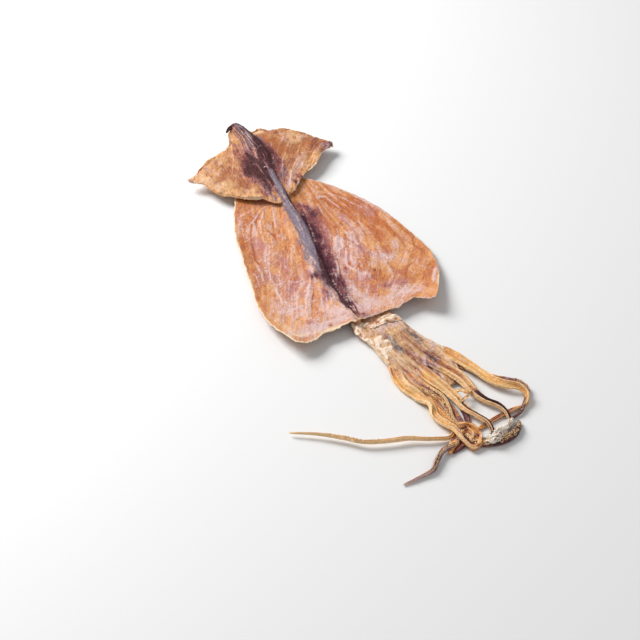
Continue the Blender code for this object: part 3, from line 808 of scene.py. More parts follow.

# %% [markdown]
# Drying pulls the sheet into creases. Most lean towards the keel as they run up to the tail,
# and near the right edge they turn along it. The strongest stand out one by one and are drawn
# as strokes. Crests and furrows are both relief in the mesh and a change of colour: powder
# gathers on the crests, where it also stands for a painted highlight, and painted shade makes
# the flesh deep and dark in the furrows.

# %% Creases of the mantle
MANTLE_LEAN = (
    (-40, 75, 20, 20), (-28, 30, 24, 20), (-22, 115, 20, 20), (-38, 130, 16, 10), (4, 110, 6, 9),
    (-2, 60, 4, 8), (0, 20, -2, 8), (18, 80, 26, 12), (20, 50, 22, 12), (24, 28, 32, 12), (22, 120, 4, 12),
    (38, 115, -18, 12), (50, 125, -36, 10), (57, 95, -8, 12), (70, 75, -18, 10), (40, 65, 12, 12),
    (62, 45, 42, 14), (45, 20, 50, 12),
)
FLOW_LEVEL = 60.0
CRESTS = (
    (1.1, 1, (-28, 18), (-23, 30), (-16, 44), (-9, 57)), (0.9, 0.8, (-25, 19), (-20, 32), (-13, 45)),
    (0.8, 0.9, (-34, 60), (-35, 48), (-37, 37)), (0.8, 0.9, (-37, 37), (-34, 32), (-28, 31), (-22, 32)),
    (0.7, 0.7, (-35, 60), (-29, 60), (-24, 60)), (0.7, 0.6, (-24, 60), (-19, 57), (-14, 57)),
    (0.7, 0.5, (-33, 40), (-27, 41), (-22, 42)), (0.6, 0.5, (-36, 28), (-29, 26), (-22, 28)),
    (0.7, 0.5, (-43, 78), (-42, 68), (-44, 60)), (0.7, 0.6, (-38, 88), (-37, 76), (-39, 64)),
    (0.7, 0.5, (-32, 74), (-34, 66), (-33, 58)), (0.7, 0.8, (-13, 80), (-15, 74)),
    (0.7, 0.7, (-8, 137), (-17, 131), (-24, 124), (-31, 121)),
    (0.7, 0.7, (-10, 134), (-19, 122), (-22, 112), (-24, 104)),
    (0.6, 0.5, (-12, 138), (-24, 134), (-34, 131)), (0.7, 0.6, (-6, 132), (-9, 120), (-14, 108)),
    (0.6, 0.5, (-28, 112), (-33, 108), (-38, 108)), (0.6, 0.5, (-25, 104), (-22, 100), (-17, 99)),
    (1.3, 1, (24, 89), (21, 83), (19, 77)), (1.2, 1, (27, 85), (24, 80), (25, 76)),
    (0.9, 1, (25, 77), (22, 67), (19, 57), (22, 49), (24, 45)), (0.7, 0.8, (30, 94), (33, 88), (38, 90)),
    (0.7, 0.6, (33, 88), (33, 80), (36, 72)), (0.8, 1, (45, 60), (47, 54), (51, 54)),
    (0.8, 1, (50, 52), (43, 50), (43, 42), (41, 34)), (0.8, 0.8, (24, 131), (32, 130), (36, 121), (38, 114)),
    (0.6, 0.6, (20, 136), (30, 136), (40, 128), (50, 117)), (0.6, 0.5, (38, 132), (46, 120), (54, 106)),
    (0.8, 0.8, (-33, 12), (-20, 8), (-8, 7)), (0.8, 0.6, (-38, 20), (-28, 24), (-18, 22)),
    (0.8, 0.7, (13, 42), (14, 30), (17, 16)), (0.7, 0.6, (30, 46), (27, 40), (29, 34)),
    (0.7, 0.6, (31, 22), (40, 24), (50, 22)), (0.7, 0.6, (72, 66), (74, 61), (76, 59)),
    (1.2, 1, (61, 15), (66, 23), (71, 31)),
)
FURROWS = (
    (0.8, 0.9, (-18, 114), (-15, 105), (-16, 99)), (0.8, 0.8, (-10, 121), (-13, 111), (-16, 101)),
    (0.9, 0.8, (-22, 128), (-28, 116), (-33, 100), (-36, 84)), (0.8, 0.7, (30, 129), (37, 116), (41, 104)),
    (0.9, 0.8, (57, 112), (59, 100), (57, 90)), (0.9, 0.9, (22, 52), (21, 60), (24, 70)),
    (0.8, 0.7, (-12, 44), (-20, 30), (-25, 18)), (0.7, 0.8, (31, 91), (30, 84), (33, 76)),
    (0.8, 0.7, (48, 28), (53, 38), (62, 44)), (0.7, 0.7, (-25, 133), (-21, 126), (-24, 117)),
    (0.7, 0.6, (66, 64), (70, 56), (71, 46)),
)
THREAD_FIELDS = (
    (-28, 40, 24, 35, 0.8), (-25, 85, 20, 25, 0.45), (25, 65, 15, 35, 0.9, 15), (10, 20, 22, 20, 0.8),
    (40, 17, 18, 9, 0.8), (36, 92, 10, 16, 0.6), (-28, 122, 13, 14, 0.7), (55, 110, 10, 18, 0.35),
    (60, 45, 14, 16, 0.3),
)
LONG_WRINKLES, CRINKLES, DENTS, PUCKERS = 0.36, 0.28, 0.75, 0.16
CREST_HEIGHT, FURROW_DEPTH, THREAD_HEIGHT = 0.50, 0.50, 0.28
PUCKER_SPACING = 1.7

mantle_flow = flow_place(mantle_x, mantle_y, MANTLE_LEAN, FLOW_LEVEL)
mantle_crests = strokes(mantle_x, mantle_y, CRESTS)
mantle_furrows = strokes(mantle_x, mantle_y, FURROWS)
mantle_wrinkles = layered(mantle_flow, mantle_y, (4.8, 19), 11)
mantle_crinkles = layered(mantle_x, mantle_y, (2.8, 4.0), 14, 2)
mantle_threads = blots(mantle_x, mantle_y, THREAD_FIELDS, 17) * np.maximum(
    threads(mantle_flow, mantle_y, (3.0, 18), 18, 0.09),
    0.7 * threads(mantle_x, mantle_y, (5.0, 7.0), 20, 0.06))
pucker_wave = np.sin(2 * math.pi * mantle_y / PUCKER_SPACING + 2.5 * drift(mantle_x, mantle_y, (9, 6), 22))
mantle_puckers = pucker_wave * bell(mantle_y - 7, 7) * eased(0.4 + 1.2 * drift(mantle_x, mantle_y, 12, 23))
print("strongest wrinkle:", round(float(np.abs(mantle_wrinkles).max()), 2), "of 1")

# %% [markdown]
# The colours are laid as fields of blots, read off the animal: plum pigment beside the keel,
# lavender powder towards the rim, amber that deepens to the right, and a pale cut edge.

# %% Colours of the mantle
PLUM_FIELDS = (
    (18, 117, 3.6, 6.5, 0.75), (16.5, 124, 3.6, 4, 0.35), (13.5, 128, 3.5, 3, 0.35), (21, 110, 3, 5, 0.3),
    (13, 116, 3.6, 8, 0.4), (9.8, 108, 2, 14, 1.2, -3), (9.2, 96, 2.9, 9, 1.3, -8), (14, 104, 4.6, 9, 0.6),
    (13, 94, 3.6, 8, 0.55, -10), (7.5, 84, 3.2, 9, 1.3, -14), (12.5, 84, 3.8, 8, 0.55, -14),
    (4.6, 72, 3.6, 8, 1.4, -14), (10.5, 73, 3.8, 9, 0.65, -14), (1.5, 61, 4, 7, 1.6, -10),
    (8, 62, 4.2, 7, 0.8, -10), (14, 66, 2.2, 9, 0.55, -14), (0.5, 52, 3.8, 6, 1.7, -6), (7, 50, 4.4, 7, 0.7),
    (-6.5, 57, 3.4, 3.8, 0.8), (15.6, 54, 1.8, 5, 0.8, -14), (0.2, 42, 2.4, 9, 1.3), (4.8, 43, 3.6, 6, 0.75),
    (9, 46, 3, 4, 0.45), (-8, 38, 2.4, 6, 0.45), (2.5, 18, 3, 5, 0.8), (1.5, 10, 2.2, 5, 0.7),
    (7, 36, 1.4, 6, 0.6), (-6.5, 40, 2.6, 6, 0.4), (-9, 31, 2, 3, 0.3), (0.2, 30, 1.3, 9, 1.2),
    (4, 30, 2.8, 6, 0.6), (3, 20, 3.2, 6, 0.65), (0.4, 16, 1.1, 9, 0.8), (2.5, 7, 2.6, 5, 0.5),
    (33, 77, 2.2, 8, 0.35, -12), (-17, 4, 2.2, 1.4, 0.7), (-6, 11, 1.6, 1, 0.5), (32.5, 45, 1.2, 1.6, 0.8),
    (44, 27, 3, 3, 0.35), (34, 29, 4, 2.5, 0.35), (27, 40, 3, 3, 0.4, -40), (7.2, 4.5, 1.6, 1.1, 0.9),
    (-26, 52, 5, 7, 0.22), (-27, 13, 4.5, 3, 0.35), (24, 118, 3, 5, 0.3), (-31, 95, 4, 12, 0.1, -8),
    (40, 60, 3, 2, 0.2),
)
SLATE_FIELDS = (
    (11.5, 56, 2.2, 4.5, 0.55), (4, 69, 3, 7, 0.35, -14), (6, 26, 3.6, 5, 0.4), (10, 35, 3, 7, 0.3),
    (-3, 33, 1.1, 11, 0.6), (9, 2.6, 9, 1.6, 0.7), (14, 18, 5, 9, 0.18), (-28, 45, 5, 6, 0.22),
    (34, 84, 2.5, 5, 0.2, -12), (13, 68, 2, 6, 0.2, -14), (-4, 76, 2, 11, 0.8, -6),
    (-1.5, 96, 1.6, 12, 0.5, -8), (8, 20, 5, 7, 0.25), (-4.5, 30, 2.6, 14, 0.45), (-4, 46, 1.6, 8, 0.5),
)
# Dark lines along the foot of the keel: (half width, strength, then the points they run through).
PLUM_LINES = (
    (1.3, 0.9, (2, 56), (0.3, 48), (-0.4, 40), (0.6, 32), (-0.4, 24), (-0.3, 16), (0.6, 8), (1.2, 2)),
    (0.7, 0.5, (-2.4, 38), (-2.9, 30), (-1.8, 22), (-1, 16)), (0.8, 0.7, (8.2, 44), (7.4, 38), (6.2, 33)),
    (0.6, 0.7, (4.6, 21), (4.4, 14), (3.4, 8)),
)
POWDER_FIELDS = (
    (-3.4, 30, 0.9, 8, 0.9), (-40, 32, 8, 14, 0.4), (38, 56, 5, 8, 0.35, -20), (12, 28, 3, 8, 0.7),
    (24, 84, 2, 4, 1, -20), (20, 78, 2.2, 4, 0.9, -30), (38, 85, 6, 10, 0.2), (42, 94, 4, 4, 0.2),
    (33, 82, 3, 8, 0.2, -12), (25, 44, 3.4, 3, 0.7, -40), (12, 34, 3.4, 9, 0.5), (8, 26, 3, 4, 0.4),
    (6, 12, 7, 6, 0.7), (15, 16, 6, 8, 0.85), (30, 15, 10, 5, 0.6), (42, 18, 8, 6, 0.8, 10),
    (52, 14, 4, 6, 0.4), (26, 8, 8, 4, 0.5, 8), (-20, 6, 12, 6, 0.85), (-8, 12, 7, 8, 0.8),
    (-36, 4, 8, 6, 0.8), (-12, 24, 6, 7, 0.55), (-27, 22, 6, 5, 0.35), (-6, 63, 2, 2.4, 1),
    (-25, 45, 8, 10, 0.25), (-33, 33, 6, 5, 0.4), (-14, 45, 4, 9, 0.25, -30), (-38, 70, 6, 14, 0.15, -5),
    (-30, 118, 9, 8, 0.25), (-34, 131, 6, 5, 0.3), (48, 55, 3, 3, 0.5, -30), (29, 72, 4, 10, 0.3, -12),
    (22, 62, 2.5, 10, 0.35, -8), (58, 42, 10, 12, 0.1),
)
WARM_FIELDS = (
    (25, 58, 3.4, 7, 1, -10), (19, 70, 2, 6, 0.8, -15), (30, 40, 5, 8, 0.7), (46, 36, 6, 8, 0.6),
    (24, 27, 2.6, 8, 0.9, -15), (56, 100, 6, 14, 0.8), (52, 84, 6, 16, 0.6), (72, 84, 3, 8, 0.4),
    (48, 60, 4, 3, 0.6), (50, 118, 8, 6, 0.4), (-12, 106, 3, 9, 0.6, -15), (-24, 127, 8, 2.5, 0.6, 25),
    (30, 130, 8, 4, 0.6), (25, 106, 5, 10, 0.45), (65, 30, 6, 12, 0.4, -20), (60, 14, 5, 5, 0.3),
    (-43, 62, 4, 20, 0.1, -8), (-42, 92, 2, 20, 0.1, -5), (12, 70, 9, 22, 0.4, -12), (-26, 28, 8, 4, 0.3),
    (42, 110, 8, 14, 0.5), (60, 50, 5, 8, 0.2), (-8, 95, 5, 20, 0.2), (36, 118, 4, 10, 0.4),
    (-16, 112, 2.4, 12, 0.6, -5), (-27, 92, 2, 12, 0.6, -8), (-34, 92, 1.8, 14, 0.5, -8),
    (-20, 74, 2.4, 10, 0.5, -6),
)
ROSE_FIELDS = (
    (36, 100, 3.5, 12, 0.85), (-25, 50, 9, 10, 0.5), (-30, 100, 5, 14, 0.55), (-28, 75, 12, 22, 0.3),
    (-8, 38, 4, 9, 0.7), (-12, 60, 8, 8, 0.45), (20, 68, 5, 10, 0.8, -14), (33, 75, 6, 12, 0.5, -12),
    (42, 62, 6, 8, 0.5), (20, 45, 6, 6, 0.4), (33, 28, 9, 4, 0.6), (44, 27, 5, 4, 0.6),
    (16, 108, 6, 13, 0.6), (18, 123, 7, 7, 0.4), (12, 86, 7, 12, 0.6, -14), (6, 14, 6, 10, 0.6),
    (56, 106, 3, 12, 0.3), (-20, 32, 14, 10, 0.35), (-28, 13, 7, 4, 0.5), (10, 46, 7, 10, 0.6),
)
EDGE_CREAM = (
    (68, 18, 2.6, 8, 0.7, -28), (64, 14, 2, 4, 0.4), (-43, 12, 4, 9, 0.4, 10), (-48, 24, 3, 12, 0.35, 10),
    (-38, 3, 8, 2.4, 0.6), (-20, 2, 10, 1.8, 0.5), (-47, 60, 3, 30, 0.3, 5), (-43, 105, 3, 24, 0.35, 5),
)
# How much powder lies everywhere, and how strongly painted shade deepens the flesh where the wrinkles dip.
BASE_POWDER, HOLLOW_SHADE = 0.07, 0.45


def body_paint(x, y):
    """The broad colours that the mantle and the keel share, straight from the fields; the
    powder is thinner where there is pigment."""
    plum = blots(x, y, PLUM_FIELDS, 35) + strokes(x, y, PLUM_LINES)
    bloom = 1 - (1 - blots(x, y, POWDER_FIELDS, 31)) * (1 - BASE_POWDER)
    bloom = bloom * (1 - 0.8 * eased(1.3 * plum))
    return {"plum": plum, "slate": blots(x, y, SLATE_FIELDS, 36), "bloom": bloom,
            "warm": blots(x, y, WARM_FIELDS, 37), "rose": blots(x, y, ROSE_FIELDS, 38)}


def mantle_masks(x, y, across, edge):
    """The mantle's masks from its paint: powder also on the crests and the wrinkles' tops, partly
    as a painted highlight, on the threads and in a fringe at the rim, with a few dark spots there;
    painted shade as deep and rosy flesh in the furrows and wherever the wrinkles dip, and as a
    little pigment in the furrows; streaks of both along the flow; and a pale cut edge."""
    crest, furrow, paint = mantle_crests, mantle_furrows, body_paint(x, y)
    streaks = layered(mantle_flow, y, (3.2, 26), 27, 2) * eased((y - 25) / 30)
    # Where the wrinkles dip they take painted shade, and where they rise, powder that is partly a painted
    # highlight.
    dip = kept(-1.0 * mantle_wrinkles) + kept(-1.0 * mantle_crinkles)
    rise = kept(0.8 * mantle_wrinkles + 0.8 * mantle_crinkles)
    right_margin = bell(edge - 1.0, 1.6) * (across > 0) * eased((y - 84) / 16)
    bare = (1 - paint["bloom"]) * (1 - 0.85 * crest) * (1 - 0.6 * right_margin)
    bare = bare * (1 - 0.4 * kept(mantle_puckers))
    bloom = 1 - bare * (1 - 0.65 * mantle_threads) * (1 - 0.3 * rise)
    left_cut = (across < 0) * (0.9 * bell(edge, 0.8) + 0.5 * bell(edge, 2.2) * bell(y - 10, 22))
    right_cut = (across > 0) * bell(edge, 0.6) * 0.6 * (1 - eased((y - 84) / 16))
    fringe = bell(mantle_up, 1.6) * (0.35 + 0.3 * layered(x, y, 2.0, 39))
    rim_spots = 0.3 * bell(mantle_up, 0.8) * kept(layered(x, y, 1.5, 40))
    return {
        "plum": kept(paint["plum"] + 0.15 * furrow + rim_spots),
        "slate": paint["slate"],
        "bloom": kept(bloom - 0.35 * furrow + fringe + 0.4 * kept(-streaks)),
        "warm": kept(paint["warm"] + HOLLOW_SHADE * dip + 0.7 * furrow - 0.4 * crest + 0.7 * streaks),
        "rose": kept(paint["rose"] + 0.3 * dip),
        "pale": kept(left_cut + right_cut + blots(x, y, EDGE_CREAM, 33)),
    }


def make_mantle():
    """The sheet. Its relief is wrinkles + crinkles + dents + crests - furrows + threads +
    puckers, each times its own height, and fades out over the last 3 mm to the edge. It is
    thickest 12 mm in and rounded off by its lip, and its upper side keeps the solid's height."""
    x, y, across, edge = mantle_x, mantle_y, mantle_across, mantle_edge
    relief = LONG_WRINKLES * mantle_wrinkles + CRINKLES * mantle_crinkles
    relief = relief + DENTS * layered(x, y, (15, 24), 26)
    relief = relief + CREST_HEIGHT * mantle_crests - FURROW_DEPTH * mantle_furrows
    relief = relief + THREAD_HEIGHT * mantle_threads + PUCKERS * mantle_puckers
    full = MANTLE_THICKNESS * (EDGE_SHARE + (1 - EDGE_SHARE) * eased(edge / FULL_FROM))
    share = lip(edge, EDGE_ROUNDING)
    middle = mantle_height(x, mantle_up, across) + relief * eased(edge / 3) - full / 2
    bottom = np.maximum(middle - full / 2 * share, SHEET_LOWEST)
    top = np.maximum(middle + full / 2 * share, bottom + 0.05 * share)
    flat = np.stack([mantle_flow, y], axis=-1)
    top, bottom = (np.stack([x, y, z], axis=-1) for z in (top, bottom))
    return closed_sheet("mantle", top, bottom, flat, mantle_masks(x, y, across, edge))


dressed(make_mantle(), body_flesh)

# %% [markdown]
# The keel is the stiff line where the animal's inner quill lay. It stands up as a ridge along
# the middle, with a soft slope on one side and a steep one on the other, and near the tail it
# is drawn together into sharp lengthwise folds. It is a sheet of its own that sinks into the
# mantle at its sides, because a ridge this steep would stretch the mantle's grid.

# %% The keel
# The ridge: (distance from the rim, half width, rise).
KEEL = (
    (-1, 1.6, 0.7), (20, 2, 1.2), (45, 2.6, 1.9), (62, 4, 3), (95, 4.6, 3.8), (130, 4, 3.8), (155, 3.6, 3),
    (172, 6.5, 2.8), (190, 9, 2.8), (204, 6.5, 2.8), (214, 4.4, 3.2), (217, 3.4, 2),
)
KEEL_SUNK, KEEL_DEPTH = 0.8, 1.4
KEEL_LOWEST = FLOOR_HEIGHT + 0.1
FLUTE_HEIGHT, BUMP_HEIGHT, NICK_DEPTH, NICK_RIM_HEIGHT = 0.45, 0.3, 0.8, 0.6
KEEL_CLIMB = (128.0, 12.0)
FIN_OVER_MANTLE = 2.2
TAIL_FOLDS, TAIL_FOLD_DEPTH = 8.5, 0.8
TAIL_FOLD_START = (172.0, 16.0)
KEEL_ROWS, KEEL_COLUMNS = 430, 110
KEEL_SHOWS = (50.0, 20.0)
# Where the steep side's dark, pigment and painted shade, begins: (distance from the rim, place
# across the keel from -1 to 1).
DARK_FROM = (
    (60, -0.1), (70, 0.12), (80, 0.45), (90, 0.75), (100, 0.75), (112, 0.65), (122, 0.35), (132, 0.2),
    (142, 0.3), (150, 0.5), (165, 0.9), (180, 0.9), (217, 1),
)
# How grey the soft side is, as grey skin and a painted sheen: (distance from the rim, strength).
KEEL_GREY_AND_SHEEN = ((-1, 0.1), (40, 0.35), (62, 0.95), (140, 0.95), (160, 0.95), (172, 0.5), (190, 0.3), (217, 0.2))
KEEL_POWDER = (
    (3.5, 134, 1, 6, 0.6), (5.4, 124, 0.6, 7, 0.7), (8.3, 113, 0.6, 9, 0.3), (3.5, 112, 2.5, 8, 0.25),
    (2.5, 98, 2.5, 8, 0.3), (-1.5, 84, 2, 8, 0.35), (-3, 70, 1.4, 7, 0.4), (2, 146, 0.7, 6, 0.5),
    (6, 152, 0.8, 8, 0.5, -10), (1.4, 126, 0.6, 8, 0.5), (6, 186, 4.5, 0.5, 0.4, 25),
    (4, 178, 3, 0.5, 0.4, -30),
)
KEEL_PLUM = (
    (6, 178, 7, 11, 1.15), (-5, 172, 6, 9, 1.1), (3, 168, 7, 8, 1.2), (1, 156, 2.6, 12, 1),
    (2, 214, 6, 2.2, 1.2), (7, 190, 2.6, 10, 0.9), (1, 144, 2, 7, 0.6), (-6, 184, 1.6, 8, 0.5),
    (-3, 178, 4, 9, 1.3), (-1, 164, 3, 8, 1),
)
# Stripes along the tail's bundle: (place across, half width, plum, slate, powder).
TAIL_STRIPES = (
    (-0.78, 0.04, 0.6, 0, 0), (-0.6, 0.04, 0.9, 0, 0), (-0.47, 0.04, 0, 0, 0.3), (-0.36, 0.04, 0.9, 0.2, 0),
    (-0.2, 0.1, 0.4, 0.8, 0), (-0.02, 0.04, 0.1, 0.3, 0.5), (0.1, 0.05, 0.9, 0.4, 0),
    (0.24, 0.05, 0.2, 0.7, 0.3), (0.4, 0.08, 0.6, 0.8, 0.1), (0.62, 0.14, 0.9, 0.7, 0),
    (0.85, 0.12, 0.6, 0.7, 0.1),
)
TAIL_STRIPES_START = (182.0, 14.0)
# A small nick in the ridge: its place and its size, each (across, along).
NICK, NICK_SIZE = (2.2, 163.8), (1.2, 1.8)


def keel_profile(across):
    """The ridge's section from 0 to 1: (1 - s^2)^1.1 on the soft side, (1 - s^4)^0.7 on the
    steep side, joined at the crest, where s runs from 0 to 1 away from the crest."""
    soft = (1 - np.clip(-across, 0, 1) ** 2) ** 1.1
    steep = (1 - np.clip(across, 0, 1) ** 4) ** 0.7
    return np.where(across < 0, soft, steep)


def keel_masks(x, y, across, bend, flutes, fold, valley, nick, nick_rim):
    """The mantle's paint below KEEL_SHOWS, and above it the keel's own: pigment and painted shade on
    the steep side past DARK_FROM, grey skin and a painted sheen on the soft side, the dark heart
    between the fins, powder on the flutes' crests, partly a painted highlight, and on the nick's
    rim, painted shade in the valleys of the tail's folds, and the tail's stripes, each a bell
    across the bundle."""
    mottle = layered(x, y, (3.0, 8.0), 44)
    own = eased((y - KEEL_SHOWS[0]) / KEEL_SHOWS[1])
    paint = body_paint(x, y)
    # dark is pigment and painted shade on the steep side; grey is grey skin and a painted sheen on the soft
    # side.
    dark = own * eased((across - value_through(DARK_FROM, y) + 0.3 * mottle) / 0.35)
    grey = value_through(KEEL_GREY_AND_SHEEN, y) * eased((across + 1.05) / 0.45)
    heart = blots(x, y, KEEL_PLUM, 45) * (1 + 1.2 * flutes)
    crests = (0.05 + 0.15 * kept(3 * flutes)) * (1 - dark) * (1 - kept(heart))
    tail = eased((y - TAIL_STRIPES_START[0]) / TAIL_STRIPES_START[1])
    striped = {kind: tail * sum(stripe[column] * bell(bend - stripe[0], stripe[1]) for stripe in TAIL_STRIPES)
               for column, kind in enumerate(("plum", "slate", "bloom"), start=2)}
    # Below, the valleys of the tail's folds take painted shade: more pigment and less powder.
    return {
        "plum": kept(paint["plum"] * (1 - own) + 0.85 * dark * (1 - 0.8 * fold) + 0.25 * fold * valley
                     + heart + 0.3 * nick - 1.5 * nick_rim + striped["plum"]),
        "slate": kept(paint["slate"] * (1 - own) + own * grey * (1 - 0.5 * dark) * (1 - 0.6 * kept(heart))
                      + 0.5 * (1 - own) * bell(across + 0.4, 0.5) + striped["slate"]),
        "bloom": kept(paint["bloom"] * (1 - own) + own * 0.7 * blots(x, y, KEEL_POWDER, 46)
                      + own * crests + 0.9 * nick_rim - 0.3 * fold * valley + striped["bloom"]),
        "warm": kept(paint["warm"] * (1 - own) + 0.5 * fold * drift(x, y, (3, 14), 47) + 0.4 * nick),
        "rose": kept(paint["rose"] * (1 - own) + 0.5 * fold * (1 - tail)),
    }


def make_keel():
    """The ridge: a base that climbs from the mantle's midline on to the fins, sunk in at its
    sides, plus its rise times the profile, plus flutes, bumps and the nick, less the tail's
    folds. A fold's valley is (1 - |sin|)^2.2 across the bundle, bent by noise. The underside is
    flat across each row, except where it stays 0.4 mm below the upper side."""
    up = np.linspace(KEEL[0][0], KEEL[-1][0], KEEL_ROWS)[:, None]
    across = crowded(KEEL_COLUMNS, (-1, 1), 1.5, 0.08)[None, :]
    half, rise = np.moveaxis(through(KEEL, up), -1, 0)
    x = value_through(MIDLINE_PLACE, up) + across * half
    y, across = up + 0 * x, across + 0 * x
    climb = eased((up - KEEL_CLIMB[0]) / KEEL_CLIMB[1])
    base = value_through(MIDLINE_HEIGHT, up) + FIN_OVER_MANTLE * climb
    fold = eased((up - TAIL_FOLD_START[0]) / TAIL_FOLD_START[1])
    bend = across + 0.12 * drift(x, y, (6, 14), 41) + 0.05 * drift(x, y, (2, 7), 34)
    valley = (1 - np.abs(np.sin(bend * math.pi * TAIL_FOLDS / 2))) ** 2.2
    valley = valley * eased(0.5 + drift(x, y, (3, 14), 33))
    flutes = layered(across * 4.0, y, (1.1, 16), 42)
    nick_distance = np.hypot((x - NICK[0]) / NICK_SIZE[0], (y - NICK[1]) / NICK_SIZE[1])
    nick_side = eased(0.3 * (x - NICK[0]) / NICK_SIZE[0] + 1.2 * (y - NICK[1]) / NICK_SIZE[1] - 0.2)
    nick, nick_rim = bell(nick_distance, 0.8), bell(nick_distance - 1.2, 0.22) * nick_side
    z = base - KEEL_SUNK + (rise + KEEL_SUNK) * keel_profile(across)
    relief = FLUTE_HEIGHT * flutes + BUMP_HEIGHT * layered(x, y, 3.0, 43)
    relief = relief - NICK_DEPTH * nick + NICK_RIM_HEIGHT * nick_rim
    z = z + relief * (1 - across ** 6) - TAIL_FOLD_DEPTH * fold * valley * (1 - across ** 4)
    bottom = np.minimum(z.min(axis=1, keepdims=True) - KEEL_DEPTH, z - 0.4)
    bottom = np.maximum(bottom, KEEL_LOWEST)
    masks = keel_masks(x, y, across, bend, flutes, fold, valley, nick, nick_rim)
    top, bottom = (np.stack([x, y, height], axis=-1) for height in (z, bottom))
    return closed_sheet("keel", top, bottom, np.stack([x, y], axis=-1), masks)


keel_skin = dried_flesh("keel_skin", (0.76, 0.42, 0.21, 1.0), (0.42, 0.14, 0.045, 1.0),
                        (0.050, 0.011, 0.014, 1.0), SLATE, fibre_tint=0.6, fibre_relief=0.8)
dressed(make_keel(), keel_skin)

# %% [markdown]
# The two fins lie over the narrow end of the mantle. They are thin, so they dried with
# crinkled edges and soft folds that run out from the middle. Straight rows from the trailing
# edge to the leading edge make the grid, and noise that grows towards the border crinkles it.

# %% The fins
# The fins' two long edges: (place across from -1 to 1, x, y).
FIN_LEADING = (
    (-1, -52, 180), (-0.8, -44.5, 182), (-0.6, -33.5, 190.3), (-0.4, -21.5, 195.3), (-0.22, -12, 200.5),
    (-0.1, -7.4, 212), (0, -1.5, 215.5), (0.09, 4, 213), (0.16, 8, 207.5), (0.27, 14.5, 209.2),
    (0.38, 21.5, 204.6), (0.5, 29.5, 204.2), (0.7, 42, 196.6), (0.85, 51, 188.3), (1, 60, 180.5),
)
FIN_TRAILING = (
    (-1, -51, 176.5), (-0.8, -42.8, 170.5), (-0.66, -37.5, 158), (-0.5, -30, 151.5), (-0.33, -19, 142.6),
    (-0.18, -10.5, 139.8), (0, 0, 131), (0.12, 9, 136), (0.25, 15.5, 142), (0.5, 28, 153.8), (0.75, 42, 163),
    (0.9, 52, 173.2), (1, 59, 175.5),
)
FIN_THICKNESS, FIN_HALF_SPAN = 1.6, 56
FIN_DROOP, FIN_WAVE = 0.055, 1.0
FIN_DENTS, FIN_RUFFLE, FIN_WRINKLES, FIN_GRAIN = 0.7, 1.5, 0.5, 0.25
FIN_LINE_HEIGHT, BACK_LIP_HEIGHT = 0.35, 0.8
FIN_WAVE_LENGTHS = (5.5, 14.0)
FIN_ROWS, FIN_COLUMNS = 150, 290
FIN_LEAN = (
    (-40, 176, -20, 12), (-25, 178, -8, 12), (-12, 165, -4, 10), (-12, 195, 10, 10), (0, 190, 6, 8),
    (12, 160, 28, 8), (25, 165, 42, 10), (40, 178, 45, 10), (15, 185, 14, 8), (30, 192, 35, 10),
)
FIN_LEVEL = 165.0
FIN_LINES = (
    (0.8, 0.9, (12, 143), (20, 158), (31, 174), (38, 186)), (0.7, 0.8, (15, 144), (25, 158), (38, 172)),
    (0.7, 0.7, (20, 147), (30, 157), (43, 168)), (0.9, 0.8, (10, 150), (15, 164), (24, 180), (32, 190)),
    (0.8, 0.7, (-10, 200), (-14, 186), (-20, 172)), (0.7, 0.6, (-14, 198), (-22, 186), (-33, 178)),
    (0.7, 0.6, (-9, 178), (-14, 165), (-13, 152)), (0.7, 0.6, (4, 172), (9, 179), (12, 188)),
    (0.6, 0.7, (1, 188), (6, 191), (12, 197)), (0.6, 0.5, (48, 175), (52, 180), (58, 181)),
    (0.6, 0.6, (44, 170), (50, 177), (55, 184)),
)
FIN_PLUM = (
    (-6, 172, 5, 11, 0.9), (-10, 167, 3.4, 9, 0.55), (-5, 152, 3, 9, 0.5), (11, 186, 3.6, 9, 1),
    (8, 176, 7, 11, 1.1), (13, 169, 4, 7, 0.6, -10), (7, 158, 3, 9, 0.8), (15, 158, 2, 8, 0.4, -30),
    (16, 181, 3, 6, 0.4), (12, 147, 2, 5, 0.4), (49, 186, 5, 5, 0.4, 20), (57, 177, 5, 4, 0.8, 20),
    (50, 172, 4, 3, 0.6, 30), (24, 205, 3, 1.2, 0.7), (18, 208, 3, 1.2, 0.7), (-10, 196, 2.5, 9, 0.2),
    (-28, 187, 5, 3, 0.35), (-19, 170, 7, 8, 0.25), (24, 150, 4, 2, 0.7, -50), (18, 147, 4, 1.6, 0.7, -50),
    (-10, 183, 3, 8, 0.35), (25, 172, 2, 8, 0.35, -40), (44, 177, 6, 4, 0.25, 30), (-43, 185, 5, 2, 0.4, 20),
    (-2, 162, 3.4, 9, 1.2), (-1.5, 149, 2.6, 7, 0.8), (-5, 172, 4, 8, 0.8),
)
FIN_SLATE = (
    (10, 196, 2.5, 8, 0.7, 10), (56, 178, 5, 3, 0.5), (13, 158, 3, 8, 0.6, -20), (6, 150, 3, 6, 0.5),
    (-8, 158, 3, 6, 0.3), (-3, 147, 3, 7, 0.7), (-2, 137, 2, 4, 0.5),
)
FIN_POWDER = (
    (-51, 177, 4, 4, 0.7), (-44, 171, 4, 3, 0.4), (15, 153, 1.6, 9, 0.6, -25), (25, 162, 2.6, 9, 0.5, -40),
    (12, 145, 1.6, 4, 0.6, -30), (54, 178, 3, 3, 0.4), (48, 171, 3, 2, 0.5, -30), (-12, 205, 3, 7, 0.4),
    (36, 168, 8, 5, 0.12, 30), (44, 193, 6, 4, 0.2), (-30, 178, 12, 10, 0.12), (29, 195, 7, 5, 0.2),
)
